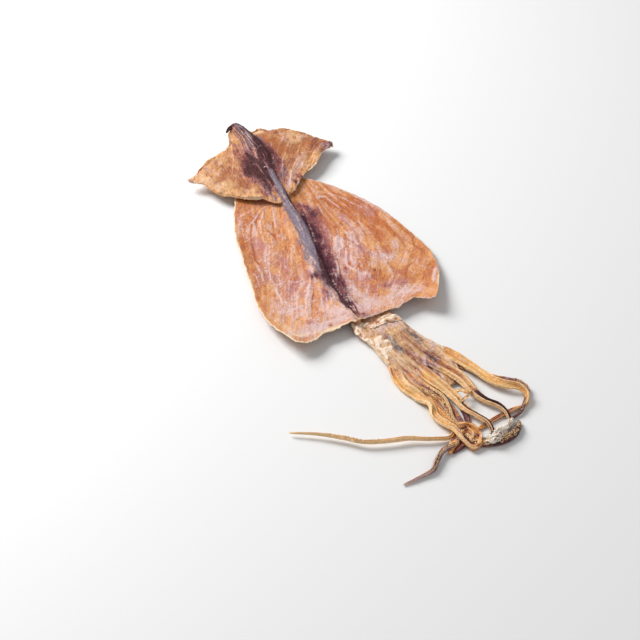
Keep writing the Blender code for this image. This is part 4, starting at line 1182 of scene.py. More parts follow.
FIN_PALE = (
    (-33, 163, 10, 8, 0.4), (-42, 176, 9, 8, 0.4), (-16, 150, 9, 8, 0.3), (-26, 186, 6, 6, 0.25),
    (36, 190, 12, 9, 0.4), (14, 204, 7, 3, 0.6), (27, 200, 5, 4, 0.5), (30, 164, 2, 9, 0.4, -42),
)
FIN_WARM = (
    (22, 188, 8, 9, 1), (45, 184, 8, 9, 0.8), (-22, 174, 9, 8, 0.75), (-14, 190, 5, 9, 0.6),
    (-16, 158, 9, 8, 0.65), (4, 168, 18, 25, 0.8), (30, 180, 7, 8, 0.55), (-30, 170, 6, 6, 0.35),
    (36, 176, 14, 8, 0.45, 30), (-34, 162, 5, 6, 0.25), (-30, 183, 8, 4, 0.4), (14, 193, 6, 9, 0.9),
)
FIN_ROSE = ((0, 165, 22, 18, 0.5), (52, 180, 8, 6, 0.5), (20, 155, 12, 8, 0.5, -40), (-14, 192, 6, 10, 0.4))


def fin_height(x, y, across):
    """A little above the mantle's midline, drooping away from it, with soft waves outwards."""
    midline = value_through(MIDLINE_HEIGHT, y) + FIN_OVER_MANTLE
    phase = x / FIN_WAVE_LENGTHS[0] + y / FIN_WAVE_LENGTHS[1]
    return midline - FIN_DROOP * np.abs(x) + FIN_WAVE * np.sin(phase) * np.abs(across) ** 1.5


def fin_masks(x, y, flow, edge, behind, back_lip, lines, wrinkles, fine):
    """The fins' masks: pigment, warmth and rosy stain as painted shade where the wrinkles dip,
    powder also on the lines, in streaks along the flow and on the crinkles' tops, there partly as
    a painted highlight, and pale edges, in a wider band behind the right fin."""
    streaks = kept(2.5 * layered(flow, y, (2.6, 16), 57, 2)) * (0.4 + 0.6 * eased((x - 8) / 10))
    # Where the wrinkles dip, painted shade: warmth, rosy stain, less pale, and pigment near the middle.
    dip = kept(-1.2 * wrinkles) + kept(-1.0 * fine)
    pale_edge = 0.5 * bell(edge, 1.0) + 0.35 * back_lip + 0.5 * bell(behind, 3.0) * (x > 14) * (x < 50)
    pale_edge = 0.9 * pale_edge * (0.7 + 0.6 * drift(x, y, 6, 66))
    return {
        "plum": kept(blots(x, y, FIN_PLUM, 61) + 0.3 * dip * bell(x, 24)),
        "slate": blots(x, y, FIN_SLATE, 62),
        "bloom": kept(blots(x, y, FIN_POWDER, 63) + 0.25 * lines + 0.12 * streaks + 0.3 * kept(fine)),
        "warm": kept(1.0 * blots(x, y, FIN_WARM, 64) - 0.2 + 0.6 * dip - 0.2 * lines),
        "rose": kept(0.6 * blots(x, y, FIN_ROSE, 65) + 0.2 * dip - 0.1),
        "pale": kept(pale_edge + blots(x, y, FIN_PALE, 67) - 0.3 * dip),
    }


def make_fins():
    """Both fins as one sheet, in rows from the trailing edge to the leading edge. The edges are
    ruffled in plan. The relief is dents + ruffle + wrinkles + grain + lines + a rolled lip behind
    the left fin, and fades out at the edge, where the sheet is thinnest."""
    across = crowded(FIN_COLUMNS, (-1, 1), 1.5, 0.08)
    along = (crowded(FIN_ROWS, (-1, 1), 4.0, 0.05) + 1) / 2
    leading, trailing = through(FIN_LEADING, across), through(FIN_TRAILING, across)
    plan = trailing[None] * (1 - along)[:, None, None] + leading[None] * along[:, None, None]
    x, y = plan[..., 0], plan[..., 1]
    across, along = across[None, :] + 0 * x, along[:, None] + 0 * x
    span = np.linalg.norm(leading - trailing, axis=1)[None, :]
    edge = np.minimum(np.minimum(along, 1 - along) * span, (1 - np.abs(across)) * FIN_HALF_SPAN)
    outside = eased(np.abs(x) / 9)
    ruffle = bell(edge, 5.0) * outside
    flow = flow_place(x, y, FIN_LEAN, FIN_LEVEL)
    x = x + ruffle * (0.7 * layered(x, y, 4.0, 51) + 0.3 * layered(x, y, 1.6, 48))
    y = y + ruffle * (1.0 * layered(x, y, 4.0, 52) + 0.4 * layered(x, y, 1.6, 49))
    lines = strokes(x, y, FIN_LINES)
    wrinkles, fine = layered(flow, y, (5.0, 14), 53), layered(x, y, (2.6, 3.4), 55, 2)
    behind = along * span
    back_lip = bell(behind - 1.6, 1.5) * outside * (x < 0)
    relief = FIN_DENTS * layered(x, y, (10, 14), 59) + FIN_RUFFLE * ruffle * layered(x, y, 5.0, 60)
    relief = relief + FIN_WRINKLES * wrinkles + FIN_GRAIN * fine
    relief = relief + FIN_LINE_HEIGHT * lines + BACK_LIP_HEIGHT * back_lip
    relief = relief * eased(edge / 1.5)
    full = np.where(np.abs(x) < 20, FIN_THICKNESS + 0.5, FIN_THICKNESS) * (0.45 + 0.55 * eased(edge / 6))
    middle = fin_height(x, y, across) + relief - full / 2
    share = lip(edge, EDGE_ROUNDING)
    masks = fin_masks(x, y, flow, edge, behind, back_lip, lines, wrinkles, fine)
    top, bottom = (np.stack([x, y, middle + side * full / 2 * share], -1) for side in (1, -1))
    return closed_sheet("fins", top, bottom, np.stack([flow, y], axis=-1), masks)


dressed(make_fins(), fin_skin)

# %% [markdown]
# Strips make everything that is long and narrow: the head, its flap, the hooked tail tip and
# the arms. A section is carried along a smooth route, held level across the route and turned
# by a roll that can change on the way. The section is a squared circle, which can have ridges
# and grooves along its upper side, and both its width and its height wander a little.

# %% Strips along a path
# A strip's stations are (x, y, height, width, thickness), in millimetres.
STATION_STEP = 0.55
NO_ROLL = ((0, 0), (1, 0))
ROOT_SINK = 1.5


def strip_frames(stations, roll, step):
    """Evenly spaced rows of a strip, each with its level and its upright direction, turned
    about the strip's heading by the roll, which is rows of (share of length, degrees)."""
    count = max(24, round(running_length(stations)[-1] / step))
    rows = along_route(stations, count)
    heading = unit(np.gradient(rows[:, :3], axis=0))
    level = unit(np.column_stack([-heading[:, 1], heading[:, 0], np.zeros(count)]))
    upright = np.cross(heading, level)
    turn = np.radians(value_through(roll, np.linspace(0, 1, count)))[:, None]
    side = level * np.cos(turn) + upright * np.sin(turn)
    up = upright * np.cos(turn) - level * np.sin(turn)
    return rows, side, up


def section(around, squareness):
    """A squared circle from -1 to 1: the sign and the power 2/squareness of cosine and sine."""
    angle = np.linspace(0, 2 * math.pi, around, endpoint=False)
    power = 2.0 / squareness
    out = np.sign(np.cos(angle)) * np.abs(np.cos(angle)) ** power
    rise = np.sign(np.sin(angle)) * np.abs(np.sin(angle)) ** power
    return out, rise


def wandering(place, mm, seed):
    """A place across that wanders by up to 0.14 in every 14 mm or so of a strip."""
    return place + 0.14 * drift(mm, 0 * mm, 14, seed)


def strip_rings(stations, roll, around, squareness, ridges, seed, wander=0.12, end_round=1.5, root=0.0):
    """Rings of a strip, with each point's share of the length, place across, height in the
    section and millimetres along. Ridges are (place across, half width, height), negative for
    grooves, and act on the upper side. Both ends are rounded, and over the root's length the
    strip rises out of what it grows from and reaches its full width."""
    rows, side, up = strip_frames(stations, roll, STATION_STEP)
    share = np.linspace(0, 1, len(rows))[:, None]
    length = running_length(rows)[-1]
    out, rise = section(around, squareness)
    out, rise = out[None, :] + 0 * share, rise[None, :] + 0 * share
    mm = share * length
    grown = eased(mm / root) if root else 1.0 + 0 * mm
    rounding = lip(np.minimum(mm, length - mm) + 0.05, end_round)
    width = rows[:, 3:4] / 2 * rounding * (1 + wander * layered(mm, np.sign(out) * 7.0, (7, 9), seed))
    width = width * (0.55 + 0.45 * grown)
    height = rows[:, 4:5] / 2 * rounding * (1 + wander * layered(mm, out, (6, 9), seed + 3))
    lifted = 0.0 * out
    for number, (place, half_width, tall) in enumerate(ridges):
        moving = wandering(place, mm, seed + 7 + number)
        lifted = lifted + tall * bell(out - moving, half_width)
    lifted = lifted * eased(rise * 1.6) * grown * eased((1 - share) * 12)
    points = (rows[:, None, :3] + side[:, None, :] * (out * width)[..., None]
              + up[:, None, :] * ((rise + lifted) * height)[..., None])
    points[..., 2] = np.maximum(points[..., 2] - ROOT_SINK * (1 - grown), STRIP_LOWEST)
    return points, share + 0 * out, out, rise, mm + 0 * out


print("a strip's section touches", [round(float(np.abs(part).max()), 2) for part in section(32, 2.2)])

# %% [markdown]
# The tip of the tail has rolled up and hooks over to one side. It is dark, nearly black in
# its creases, and has a dull shine.

# %% The tail's curl
TAIL_CURL = (
    (3.4, 205, 15.2, 5, 3.4), (1.4, 211, 16, 4.6, 3.2), (-2.2, 214.8, 16, 3.6, 2.6),
    (-5.8, 214.4, 15.4, 2.8, 2.2), (-9.6, 211.6, 14.6, 1.6, 1.5),
)


def make_tail_curl():
    """A hooked strip with small crinkles on its upper side, dark all over, with patches of grey
    and powder where smooth noise is above zero."""
    ridges = ((-0.5, 0.18, 0.5), (0.1, 0.16, -0.5), (0.55, 0.2, 0.4))
    rings, _, out, rise, mm = strip_rings(TAIL_CURL, NO_ROLL, 40, 2.0, ridges, 71, 0.3)
    rings[..., 2] += 0.4 * layered(mm, out * 3, (2.5, 1), 75) * kept(rise)
    masks = {
        "plum": kept(0.9 + 0.3 * drift(mm, out * 3, (3, 1), 72)),
        "slate": 0.3 * eased(drift(mm, out * 3, (4, 1), 73) * 2),
        "bloom": 0.3 * eased(drift(mm, out * 3, (2, 0.6), 74) * 2),
        "warm": 0.4 + 0 * mm,
    }
    return closed_strips("tail_curl", rings[None], masks)


dressed(make_tail_curl(), fin_skin)

# %% [markdown]
# The head is a flattened, skinny trunk that comes out under the rim. Its muscle shows as
# lengthwise strands, which fan out and run into the arms, with grey streaks of skin between.
# The strands are noise that is narrow across the head and long down it, and deep grooves mark
# where each arm will part from the next.

# %% The head
HEAD = (
    (9, 20, 3, 20, 3.6), (10.5, 8, 3.2, 26, 5), (12.8, -4, 3.1, 31, 5.8), (16.2, -18, 3, 32, 5.8),
    (19.6, -32, 2.8, 35.5, 5.2), (22.8, -43, 2.6, 41, 4.6), (26, -54, 2.3, 38, 3.4), (28, -63, 2.1, 31, 2.6),
    (29, -71, 1.8, 20, 1.8),
)
HEAD_SQUARENESS = 2.6
HEAD_AROUND = 220
STRAND_HEIGHT, FIBRE_HEIGHT, LUMP_HEIGHT, PARTING_DEPTH = 1.3, 0.45, 0.7, 1.1
STRAND_DEPTH = ((0, 0.05), (0.3, 0.25), (0.55, 0.8), (0.85, 1.2), (1, 0.6))
ARM_PARTINGS = (-0.70, -0.34, 0.10, 0.60)
HEAD_SLATE = (
    (13.6, -20, 2.8, 7, 0.5), (14.4, -30, 2.8, 7, 0.7), (18, -26, 6, 9, 0.25), (28.5, -17, 2.6, 6, 0.4, 10),
    (30.4, -26, 2.6, 7, 0.6, 10), (27.5, -50, 3.5, 5, 0.4), (26, -22, 5, 8, 0.2),
)
HEAD_PLUM = (
    (27.5, -50, 3, 4, 0.7), (11.5, -15, 2, 4, 0.4), (22, -24, 2, 5, 0.3, 8), (30, -13, 1.6, 6, 0.5, 25),
    (24, -57, 3, 4, 0.3), (44, -57, 1.6, 6, 0.5, 15), (36, -60, 2, 5, 0.3), (19, -38, 1.2, 8, 0.35, 5),
)
HEAD_POWDER = (
    (24, -4, 4, 3, 0.9, -20), (25, -47, 1.8, 2.4, 1.1), (38, -34, 4, 3, 0.7, 30), (35, -28, 1.6, 7, 0.7, 25),
    (13, -9, 6, 4, 0.35), (20, -7, 5, 3, 0.5), (31, -52, 1.4, 6, 0.5, 10),
)
HEAD_WARM = (
    (22, -30, 3, 9, 0.7, 5), (25, -20, 5, 6, 0.5), (12, -4, 9, 3, 0.8), (29, -38, 4, 8, 0.55, 10),
    (19, -42, 2, 8, 0.5, 5), (34, -64, 4, 6, 0.5), (43, -52, 3, 9, 0.6, 10), (9, -58, 2.5, 8, 0.5, 5),
)


def make_head():
    """A flattened trunk. Its upper side is lifted by 1.3 depth x strands + 0.45 fine fibres + 0.7
    lumps - 1.1 partings, faded out at both ends. Strands and fibres are noise that is narrow
    across and long down the head, and the strands' depth grows towards the arms."""
    rings, share, out, rise, mm = strip_rings(HEAD, NO_ROLL, HEAD_AROUND, HEAD_SQUARENESS, (), 81, 0.06)
    top = eased(rise * 2.5)
    depth = value_through(STRAND_DEPTH, share)
    fan = out + 0.10 * layered(mm, out * 3, (14, 0.8), 82, 2)
    strands = layered(fan * 8, mm, (1.0, 26), 83, 2)
    fine = layered(fan * 22, mm, (0.8, 8), 84)
    lumps = layered(rings[..., 0], rings[..., 1], 4.0, 85)
    parting = sum(bell(fan - place, 0.04) for place in ARM_PARTINGS) * eased((share - 0.58) / 0.25)
    lift = depth * STRAND_HEIGHT * strands + FIBRE_HEIGHT * fine
    lift = lift + LUMP_HEIGHT * lumps * (1 - 0.6 * share) - PARTING_DEPTH * parting
    rings[..., 2] += top * lift * eased(share * 8) * eased((1 - share) * 6)
    rings[..., 2] = np.maximum(rings[..., 2], STRIP_LOWEST)
    x, y = rings[..., 0], rings[..., 1]
    # The dips and the arms' partings take painted shade as pigment and warmth, and the tops of the strands,
    # fibres and lumps a painted highlight as pale and powder.
    dip = kept(-1.6 * strands) * depth + kept(-1.0 * fine) * (0.4 + 0.6 * depth) + 0.8 * kept(-lumps)
    side_edge = bell(1 - np.abs(out), 0.10) * (share > 0.3)
    masks = {
        "plum": kept(blots(x, y, HEAD_PLUM, 86) + 0.2 * dip + 0.6 * parting),
        "slate": blots(x, y, HEAD_SLATE, 87),
        "bloom": kept(blots(x, y, HEAD_POWDER, 88) + 0.2 * kept(2 * fine) + 0.5 * kept(1.5 * lumps)),
        "warm": kept(0.8 * blots(x, y, HEAD_WARM, 89) - 0.1 + 0.5 * dip + 0.5 * parting),
        "rose": kept(0.8 * blots(x, y, HEAD_PLUM, 90) - 0.2),
        "pale": kept(0.6 * side_edge + (0.4 * kept(2 * fine) + 0.4 * kept(1.5 * strands) * depth) * top
                     - 0.3 * parting),
    }
    return closed_strips("head", rings[None], masks)


dressed(make_head(), head_skin)

# %% [markdown]
# Torn, nearly white skin is left where the head was joined to the body: a flap in two lobes
# down one side and a crumpled tuft under the rim. Each is a strip with a strong wander in its
# width, and a crinkle and a fine speckle laid over it.

# %% Torn collar
# For each piece: its stations, how much its width wanders, and its crinkles' height.
COLLAR = {
    "collar_flap": (
        (
            (-0.5, 4, 5.4, 7, 1.6), (-0.2, -3, 4.6, 9, 1.6), (2, -11, 3.8, 8.5, 1.6),
            (4.6, -18, 3.4, 7, 1.6), (5.6, -26, 3, 3.5, 1.4),
        ),
        0.35, 0.9,
    ),
    "collar_lobe": (
        (
            (7, -14, 5, 5, 1.3), (7.4, -20, 5.4, 9.5, 1.4), (7.6, -26, 5.2, 10, 1.4),
            (6.6, -32, 4.6, 5.5, 1.3), (4.6, -40, 4, 1.6, 1.1),
        ),
        0.3, 1.1,
    ),
    "collar_tuft": (
        (
            (-1, -3, 5, 5, 1.2), (6, -4.4, 5.8, 6, 1.3), (13, -4.4, 6.2, 5.4, 1.3), (19, -3.6, 6.8, 7, 1.6),
            (24, -4.2, 6.2, 7, 1.6), (28, -7.6, 5, 3.4, 1.2),
        ),
        0.35, 1.1,
    ),
}
CRINKLE_SIZE, SPECKLE_SIZE = 3.2, 1.5


def make_collar(name, stations, wander, crinkle_height, seed):
    """A crumpled strip, lifted by its crinkle height x (crinkle + 0.4 speckle). Its crests are pale
    and powdered as a painted highlight, and its crevices warm, pinkish and a little plum as
    painted shade."""
    ridges = ((-0.4, 0.25, 0.5), (0.3, 0.2, -0.4))
    rings, share, *_ = strip_rings(stations, NO_ROLL, 64, 2.4, ridges, seed, wander)
    crinkle = layered(rings[..., 0], rings[..., 1], CRINKLE_SIZE, seed + 1)
    speckle = layered(rings[..., 0], rings[..., 1], SPECKLE_SIZE, seed + 2)
    height = crinkle_height * (crinkle + 0.4 * speckle)
    rings[..., 2] += height * eased(share * 6) * eased((1 - share) * 6)
    masks = {
        "plum": 0.3 * kept(-2.5 * crinkle - 0.9),
        "bloom": kept(0.2 + 0.5 * crinkle - 0.6 * speckle),
        "warm": kept(1.3 * kept(-crinkle) + 0.7 * kept(-speckle) - 0.2),
        "rose": kept(0.5 * kept(-speckle) + 0.3 * kept(-crinkle) - 0.1),
        "pale": kept(0.6 + 1.4 * crinkle + 0.5 * speckle),
    }
    return closed_strips(name, rings[None], masks)


for number, (name, (stations, wander, crinkle_height)) in enumerate(COLLAR.items()):
    dressed(make_collar(name, stations, wander, crinkle_height, 95 + 10 * number), collar_skin)

# %% [markdown]
# A squid has eight arms and two longer tentacles. Dried, each is a ribbon with ridges, a dark
# groove or rows of suckers, and they bend back, cross and curl. One table holds each arm's
# route as in the solid, and others hold its roll, its ridges and its colours.

# %% The arms' routes
ARMS = {
    "outer": (
        (37, -32, 3, 9, 3.2), (43, -44, 3.4, 8.8, 3.2), (48.8, -57, 3.8, 7.8, 2.6),
        (53.6, -69, 4.2, 7.2, 2.4), (58, -79.5, 4.8, 6.2, 2.2), (63.5, -85.6, 5.2, 5.6, 2),
        (69.6, -89.8, 4.8, 4.8, 1.9), (72.3, -96.6, 3.6, 4.2, 1.8), (69.2, -102.4, 2.4, 3.6, 1.8),
        (61, -103.6, 1.6, 3.4, 1.8), (50, -105, 1.4, 3.2, 1.8), (40, -107.4, 1.3, 3, 1.8),
        (30, -110.6, 1.3, 2.6, 1.8),
    ),
    "outer_back": (
        (40, -46, 1.6, 5, 2.4), (49, -60, 1.6, 5, 2.4), (59.6, -73.5, 1.9, 4.2, 2.4),
        (67, -79.6, 2.4, 3.6, 2.4), (73.6, -86, 2.8, 3, 2.3), (75.2, -92, 2.4, 2.7, 2.2),
        (71.6, -97.5, 1.5, 2.5, 2), (66.4, -103.5, 3, 2.3, 1.9), (61, -108.2, 2, 2, 1.6),
        (54.6, -109.8, 1.3, 1.6, 1.3),
    ),
    "grooved": (
        (28, -36, 3.8, 10, 3.2), (31.6, -50, 4.2, 10, 3.2), (37.6, -61.5, 4.2, 9.4, 3),
        (41.4, -71.5, 3.8, 8.2, 2.8), (42.6, -81, 3.4, 6.4, 2.8), (46, -91, 3.4, 4.8, 2.6),
        (51.2, -99, 3.9, 3.6, 2.4), (53, -107, 3.8, 2.8, 2.2), (51.6, -114, 2, 2.4, 2),
        (45, -117.8, 1.3, 2, 1.7), (36, -119, 1.2, 1.7, 1.6), (28, -119.5, 1.8, 1.5, 1.4),
    ),
    "striped": (
        (20, -40, 3.6, 9, 3), (22, -56, 4, 9, 3), (26.3, -70, 4, 8.2, 2.8), (29.5, -81, 3.6, 7, 2.6),
        (31.2, -92, 3.4, 5.2, 2.6), (35, -101.6, 3.8, 3.8, 2.4), (38.8, -109.6, 3.6, 3, 2.2),
        (38.4, -116, 2.2, 2.4, 2), (33, -119.8, 2.6, 2, 1.6),
    ),
    "suckered": (
        (11, -42, 3.4, 8, 2.8), (12.6, -58, 3.6, 8, 2.8), (17.4, -70, 3.4, 7, 2.6), (21.6, -79, 3, 6, 2.6),
        (21.8, -88, 2.6, 4.8, 2.4), (20.4, -97, 2.3, 3.8, 2.2), (21.6, -104, 2, 3, 2),
    ),
    "inner": (
        (6.5, -36, 3.2, 8, 3), (4.4, -49, 3.4, 8, 3), (5.4, -61, 3.2, 7.6, 2.8), (9.4, -72.2, 3, 7, 2.8),
        (12.8, -82, 3.4, 5.8, 2.8), (11.6, -89.6, 3, 5, 2.6), (13.6, -98, 3.4, 5.2, 2.4),
        (17, -107, 4.2, 4.8, 2.4), (18.2, -117, 3.6, 4.2, 2.4), (21.6, -124, 2.2, 3.4, 2.2),
        (26.6, -122, 2.4, 3, 2), (26, -115, 3.2, 2.6, 1.8),
    ),
    "club_stalk": (
        (17, -48, 1.4, 5, 2.2), (21, -68, 1.3, 4, 2.2), (25, -88, 1.3, 3.2, 2.2), (24.5, -104, 1.3, 3, 2.2),
        (23, -114, 1.6, 3.2, 2.2), (27, -121.6, 2, 4, 2.6), (34, -123.6, 2.4, 5, 3),
        (42, -124.4, 2.6, 5.6, 3.4), (49.4, -122.8, 2.6, 5.2, 3.4), (54.8, -118.4, 2.4, 4, 3),
        (57.6, -113.6, 2, 2.4, 2),
    ),
    "tendril": (
        (14, -50, 1.3, 4.5, 2.2), (14.6, -70, 1.3, 4.4, 2.2), (16.6, -90, 1.3, 4, 2.2),
        (18.6, -103, 1.4, 3, 2.2), (13.4, -109.6, 2.2, 2.8, 2.2), (2, -107.8, 3.2, 2.6, 2),
        (-12, -102, 3.8, 3, 2.2), (-26, -98.6, 4, 3, 2.2), (-39, -93.6, 4, 2.8, 2),
        (-48, -86.2, 3.9, 2.8, 1.9), (-60, -77.4, 3.5, 2, 1.5), (-76.4, -68.2, 2.8, 1.2, 1.1),
    ),
    "dark": (
        (15, -52, 1.3, 5, 2), (18, -72, 1.2, 4.4, 2), (20, -94, 1.2, 4, 2), (19.4, -110, 1.4, 3.8, 2.2),
        (12.6, -116.2, 2.4, 4, 2.6), (3.4, -118.6, 3, 4, 2.6), (-3.4, -124.2, 2.8, 3.6, 2.5),
        (-8.8, -129.6, 2.2, 3, 2.2), (-17.6, -131.2, 1.7, 2.2, 1.8), (-29.6, -132.6, 1.3, 1.2, 1.1),
    ),
    "hidden": (
        (24, -50, 1.3, 5.5, 2.2), (30, -72, 1.2, 4.8, 2.2), (30.5, -94, 1.2, 4.2, 2.2),
        (26, -108, 1.2, 3.8, 2.2), (18, -117, 1.3, 4.4, 2.2), (9, -121, 1.2, 3, 1.8),
    ),
}
# How an arm is turned about its own line: (share of its length, degrees).
ARM_ROLL = {
    "outer": ((0, 0), (0.4, 8), (0.55, 40), (0.66, 75), (0.76, 20), (1, 0)),
    "inner": ((0, 0), (0.38, 10), (0.46, -45), (0.56, 5), (0.7, -30), (0.84, -60), (1, -20)),
    "suckered": ((0, 0), (0.5, 15), (0.8, 45), (1, 20)),
    "club_stalk": ((0, 0), (0.6, 0), (0.75, 25), (1, 35)),
}
longest = max(running_length(arm)[-1] for arm in ARMS.values())
print(len(ARMS), "arms, the longest a tentacle of", round(longest), "mm")

# %% [markdown]
# An arm's colours are written as they change along it, from the head to the tip, and stripes
# are added where pigment lies in a groove. Positive places across are on the arm's left side,
# seen along it from the head.

# %% The arms' ridges and colours
# Ridges and, below zero, grooves: (place across, half width, height).
ARM_RIDGES = {
    "outer": ((0.8, 0.15, 0.5), (-0.75, 0.15, 0.5), (0.1, 0.5, -0.5), (0.25, 0.12, 0.3)),
    "outer_back": ((0.5, 0.2, 0.4), (-0.2, 0.25, -0.5)),
    "grooved": ((0.55, 0.22, 0.7), (-0.55, 0.22, 0.75), (0, 0.22, -1.1), (0.85, 0.1, -0.4)),
    "striped": ((0.7, 0.18, 0.5), (0.35, 0.12, -0.9), (-0.25, 0.22, 0.6), (-0.65, 0.14, -0.5)),
    "suckered": ((0.6, 0.2, 0.5), (-0.6, 0.2, 0.5), (0, 0.3, -0.4)),
    "inner": ((0.8, 0.14, 0.6), (0.3, 0.1, -0.4), (0, 0.12, 0.3), (-0.35, 0.1, -0.5), (-0.75, 0.15, 0.7)),
    "club_stalk": ((0.5, 0.25, 0.3),),
    "tendril": ((0.45, 0.2, 0.5), (-0.45, 0.2, 0.5), (0, 0.15, -0.5)),
    "dark": ((0.5, 0.2, 0.6), (-0.5, 0.2, 0.6), (0, 0.25, -0.7)),
    "hidden": ((0.5, 0.3, 0.4), (-0.4, 0.3, -0.4)),
}
# Colours along an arm: (share of its length from the head, strength).
ARM_WARM = {
    "outer": ((0, 0.1), (0.25, 0), (0.5, 0.1), (0.66, 0.4), (0.72, 1.1), (0.85, 1.3), (1, 1)),
    "outer_back": ((0, 0.2), (1, 0.4)),
    "grooved": ((0, 0.2), (0.4, 0.3), (1, 0.4)),
    "striped": ((0, 0.2), (0.5, 0.1), (1, 0.4)),
    "suckered": ((0, 0.2), (0.4, 0.3), (1, 0.2)),
    "inner": ((0, 0.05), (0.35, 0), (0.5, 0.1), (0.62, 0.25), (0.75, 0.5), (1, 0.6)),
    "club_stalk": ((0, 0.6), (1, 0.6)),
    "tendril": ((0, 0.5), (0.4, 0.4), (0.55, 0), (1, 0)),
    "dark": ((0, 0.8), (0.5, 0.4), (1, 0.2)),
    "hidden": ((0, 0.9), (1, 0.9)),
}
ARM_PLUM = {
    "outer": ((0, 0), (0.62, 0), (0.76, 0.2), (1, 0.2)),
    "outer_back": ((0, 0.2), (0.35, 0.3), (0.5, 0.4), (1, 0.85)),
    "grooved": ((0, 0.5), (0.1, 0.45), (0.18, 0.15), (0.4, 0.1), (0.6, 0.2), (0.75, 0.35), (1, 0.6)),
    "striped": ((0, 0.2), (0.12, 0.15), (0.2, 0.05), (0.65, 0.05), (0.85, 0.25), (1, 0.6)),
    "suckered": ((0, 0.1), (0.5, 0.15), (1, 0.1)),
    "inner": ((0, 0), (0.5, 0), (0.7, 0.1), (1, 0.2)),
    "club_stalk": ((0, 0.7), (0.55, 0.5), (0.75, 0.7), (1, 0.95)),
    "tendril": ((0, 0.3), (0.45, 0), (0.75, 0), (1, 0.1)),
    "dark": ((0, 0.6), (0.45, 0.3), (0.55, 0.35), (0.64, 0.9), (0.85, 0.8), (0.93, 0.5), (1, 0.3)),
    "hidden": ((0, 0.75), (1, 0.7)),
}
ARM_SLATE = {
    "outer_back": ((0, 0.2), (0.6, 0.25), (1, 0.15)),
    "grooved": ((0, 0.3), (0.12, 0.2), (0.4, 0.2), (1, 0.25)),
    "striped": ((0, 0.2), (0.4, 0.2), (1, 0.25)),
    "tendril": ((0, 0), (0.8, 0), (1, 0.1)),
    "dark": ((0, 0.2), (0.6, 0.5), (0.85, 0.7), (1, 0.3)),
    "club_stalk": ((0, 0.1), (0.8, 0.1), (1, 0.15)),
}
ARM_POWDER = {
    "outer": ((0, 0.2), (0.3, 0.2), (0.6, 0.1), (1, 0)),
    "outer_back": ((0, 0.3), (0.5, 0.5), (1, 0.2)),
    "grooved": ((0, 0.4), (0.4, 0.35), (0.7, 0.15), (1, 0.05)),
    "striped": ((0, 0.3), (0.5, 0.3), (1, 0.15)),
    "suckered": ((0, 0.35), (0.6, 0.5), (1, 0.35)),
    "inner": ((0, 0.2), (0.4, 0.2), (0.6, 0.3), (1, 0.15)),
    "tendril": ((0, 0), (0.6, 0.05), (1, 0.15)),
    "dark": ((0, 0), (0.6, 0.7), (0.85, 1), (1, 1.2)),
}
# Where an arm is bleached to a pale cream.
ARM_PALE = {
    "outer": ((0, 0.15), (0.6, 0.15), (0.7, 0), (1, 0)),
    "grooved": ((0, 0), (0.2, 0.2), (0.4, 0.3), (0.75, 0.3), (1, 0)),
    "striped": ((0, 0.1), (0.25, 0.3), (0.6, 0.4), (0.85, 0.4), (1, 0)),
    "suckered": ((0, 0.3), (1, 0.3)),
    "inner": ((0, 0.15), (0.5, 0.25), (0.8, 0.1), (1, 0)),
    "tendril": ((0, 0), (0.45, 0.3), (0.6, 1.1), (1, 1.2)),
}
# Stripes of pigment: (place across, half width, first share, last share, strength).
ARM_STRIPES = {
    "grooved": ((0.3, 0.3, 0.42, 1, 1.2),),
    "striped": ((0.35, 0.26, 0.5, 1, 1.1),),
    "outer": ((0.1, 0.15, 0.74, 1, 0.5),),
    "inner": ((-0.22, 0.09, 0.62, 0.95, 0.5),),
    "tendril": ((-0.1, 0.2, 0.3, 1, 0.15),),
    "suckered": ((0.1, 0.25, 0.3, 0.9, 0.35),),
}
NOTHING = ((0, 0.0), (1, 0.0))
ARM_AROUND = 48
# Over these lengths an arm rises out of the head, and its colours part from the head's.
ARM_ROOT, ARM_BLEND = 18.0, 30.0
ARM_BUMPS, ARM_GRAIN = 0.22, 0.16
arm_surfaces = {}


def arm_masks(name, seed, share, out, mm, top, fine):
    """An arm's masks: its colours along it, with crests pale as a painted highlight, and grooves dark
    and warm as painted shade. A stripe is a bell across the arm between two shares of its length.
    Near the root the arm's colours give way to the head's."""
    dark, grey, powder, warm, bleached = (
        value_through(table.get(name, NOTHING), share)
        for table in (ARM_PLUM, ARM_SLATE, ARM_POWDER, ARM_WARM, ARM_PALE))
    stripe = 0 * mm
    for place, half_width, first, last, strength in ARM_STRIPES.get(name, ()):
        reach = eased((share - first) * 12) * eased((last - share) * 12)
        centre = wandering(place, mm, seed + 9)
        stripe = np.maximum(stripe, strength * reach * bell(out - centre, half_width) * top)
    rise_of = {sign: sum(kept(sign * tall) * bell(out - place, half_width)
                         for place, half_width, tall in ARM_RIDGES[name]) * top for sign in (1, -1)}
    # Crests take a painted highlight as pale, and grooves painted shade as pigment and warmth.
    crest = kept(rise_of[1] + 0.8 * kept(fine))
    groove = kept(rise_of[-1] + 0.8 * kept(-fine))
    edge = bell(1 - np.abs(out), 0.14)
    cloud = layered(mm, out * 5, (7, 3), seed + 21)
    joined = 1 - eased((mm - 4) / ARM_BLEND)
    pale = kept(0.55 * edge + 0.75 * crest + bleached + 0.3 * cloud)
    return {
        "plum": kept(dark * (1 + 0.8 * cloud) + stripe + 0.2 * groove + 0.2 * joined * (1 + 2 * cloud)),
        "slate": kept(grey * (1 + cloud)),
        "bloom": kept(0.5 * powder * (1 + cloud + crest) - 0.5 * stripe),
        "warm": kept(warm + 0.35 * cloud - 0.3 * crest + 0.7 * groove + 0.25 * joined),
        "rose": kept(0.7 * dark + 0.15 * cloud - 0.25 + 0.35 * joined),
        "pale": pale * kept(1 - dark - stripe) * (1 - 0.6 * joined),
    }


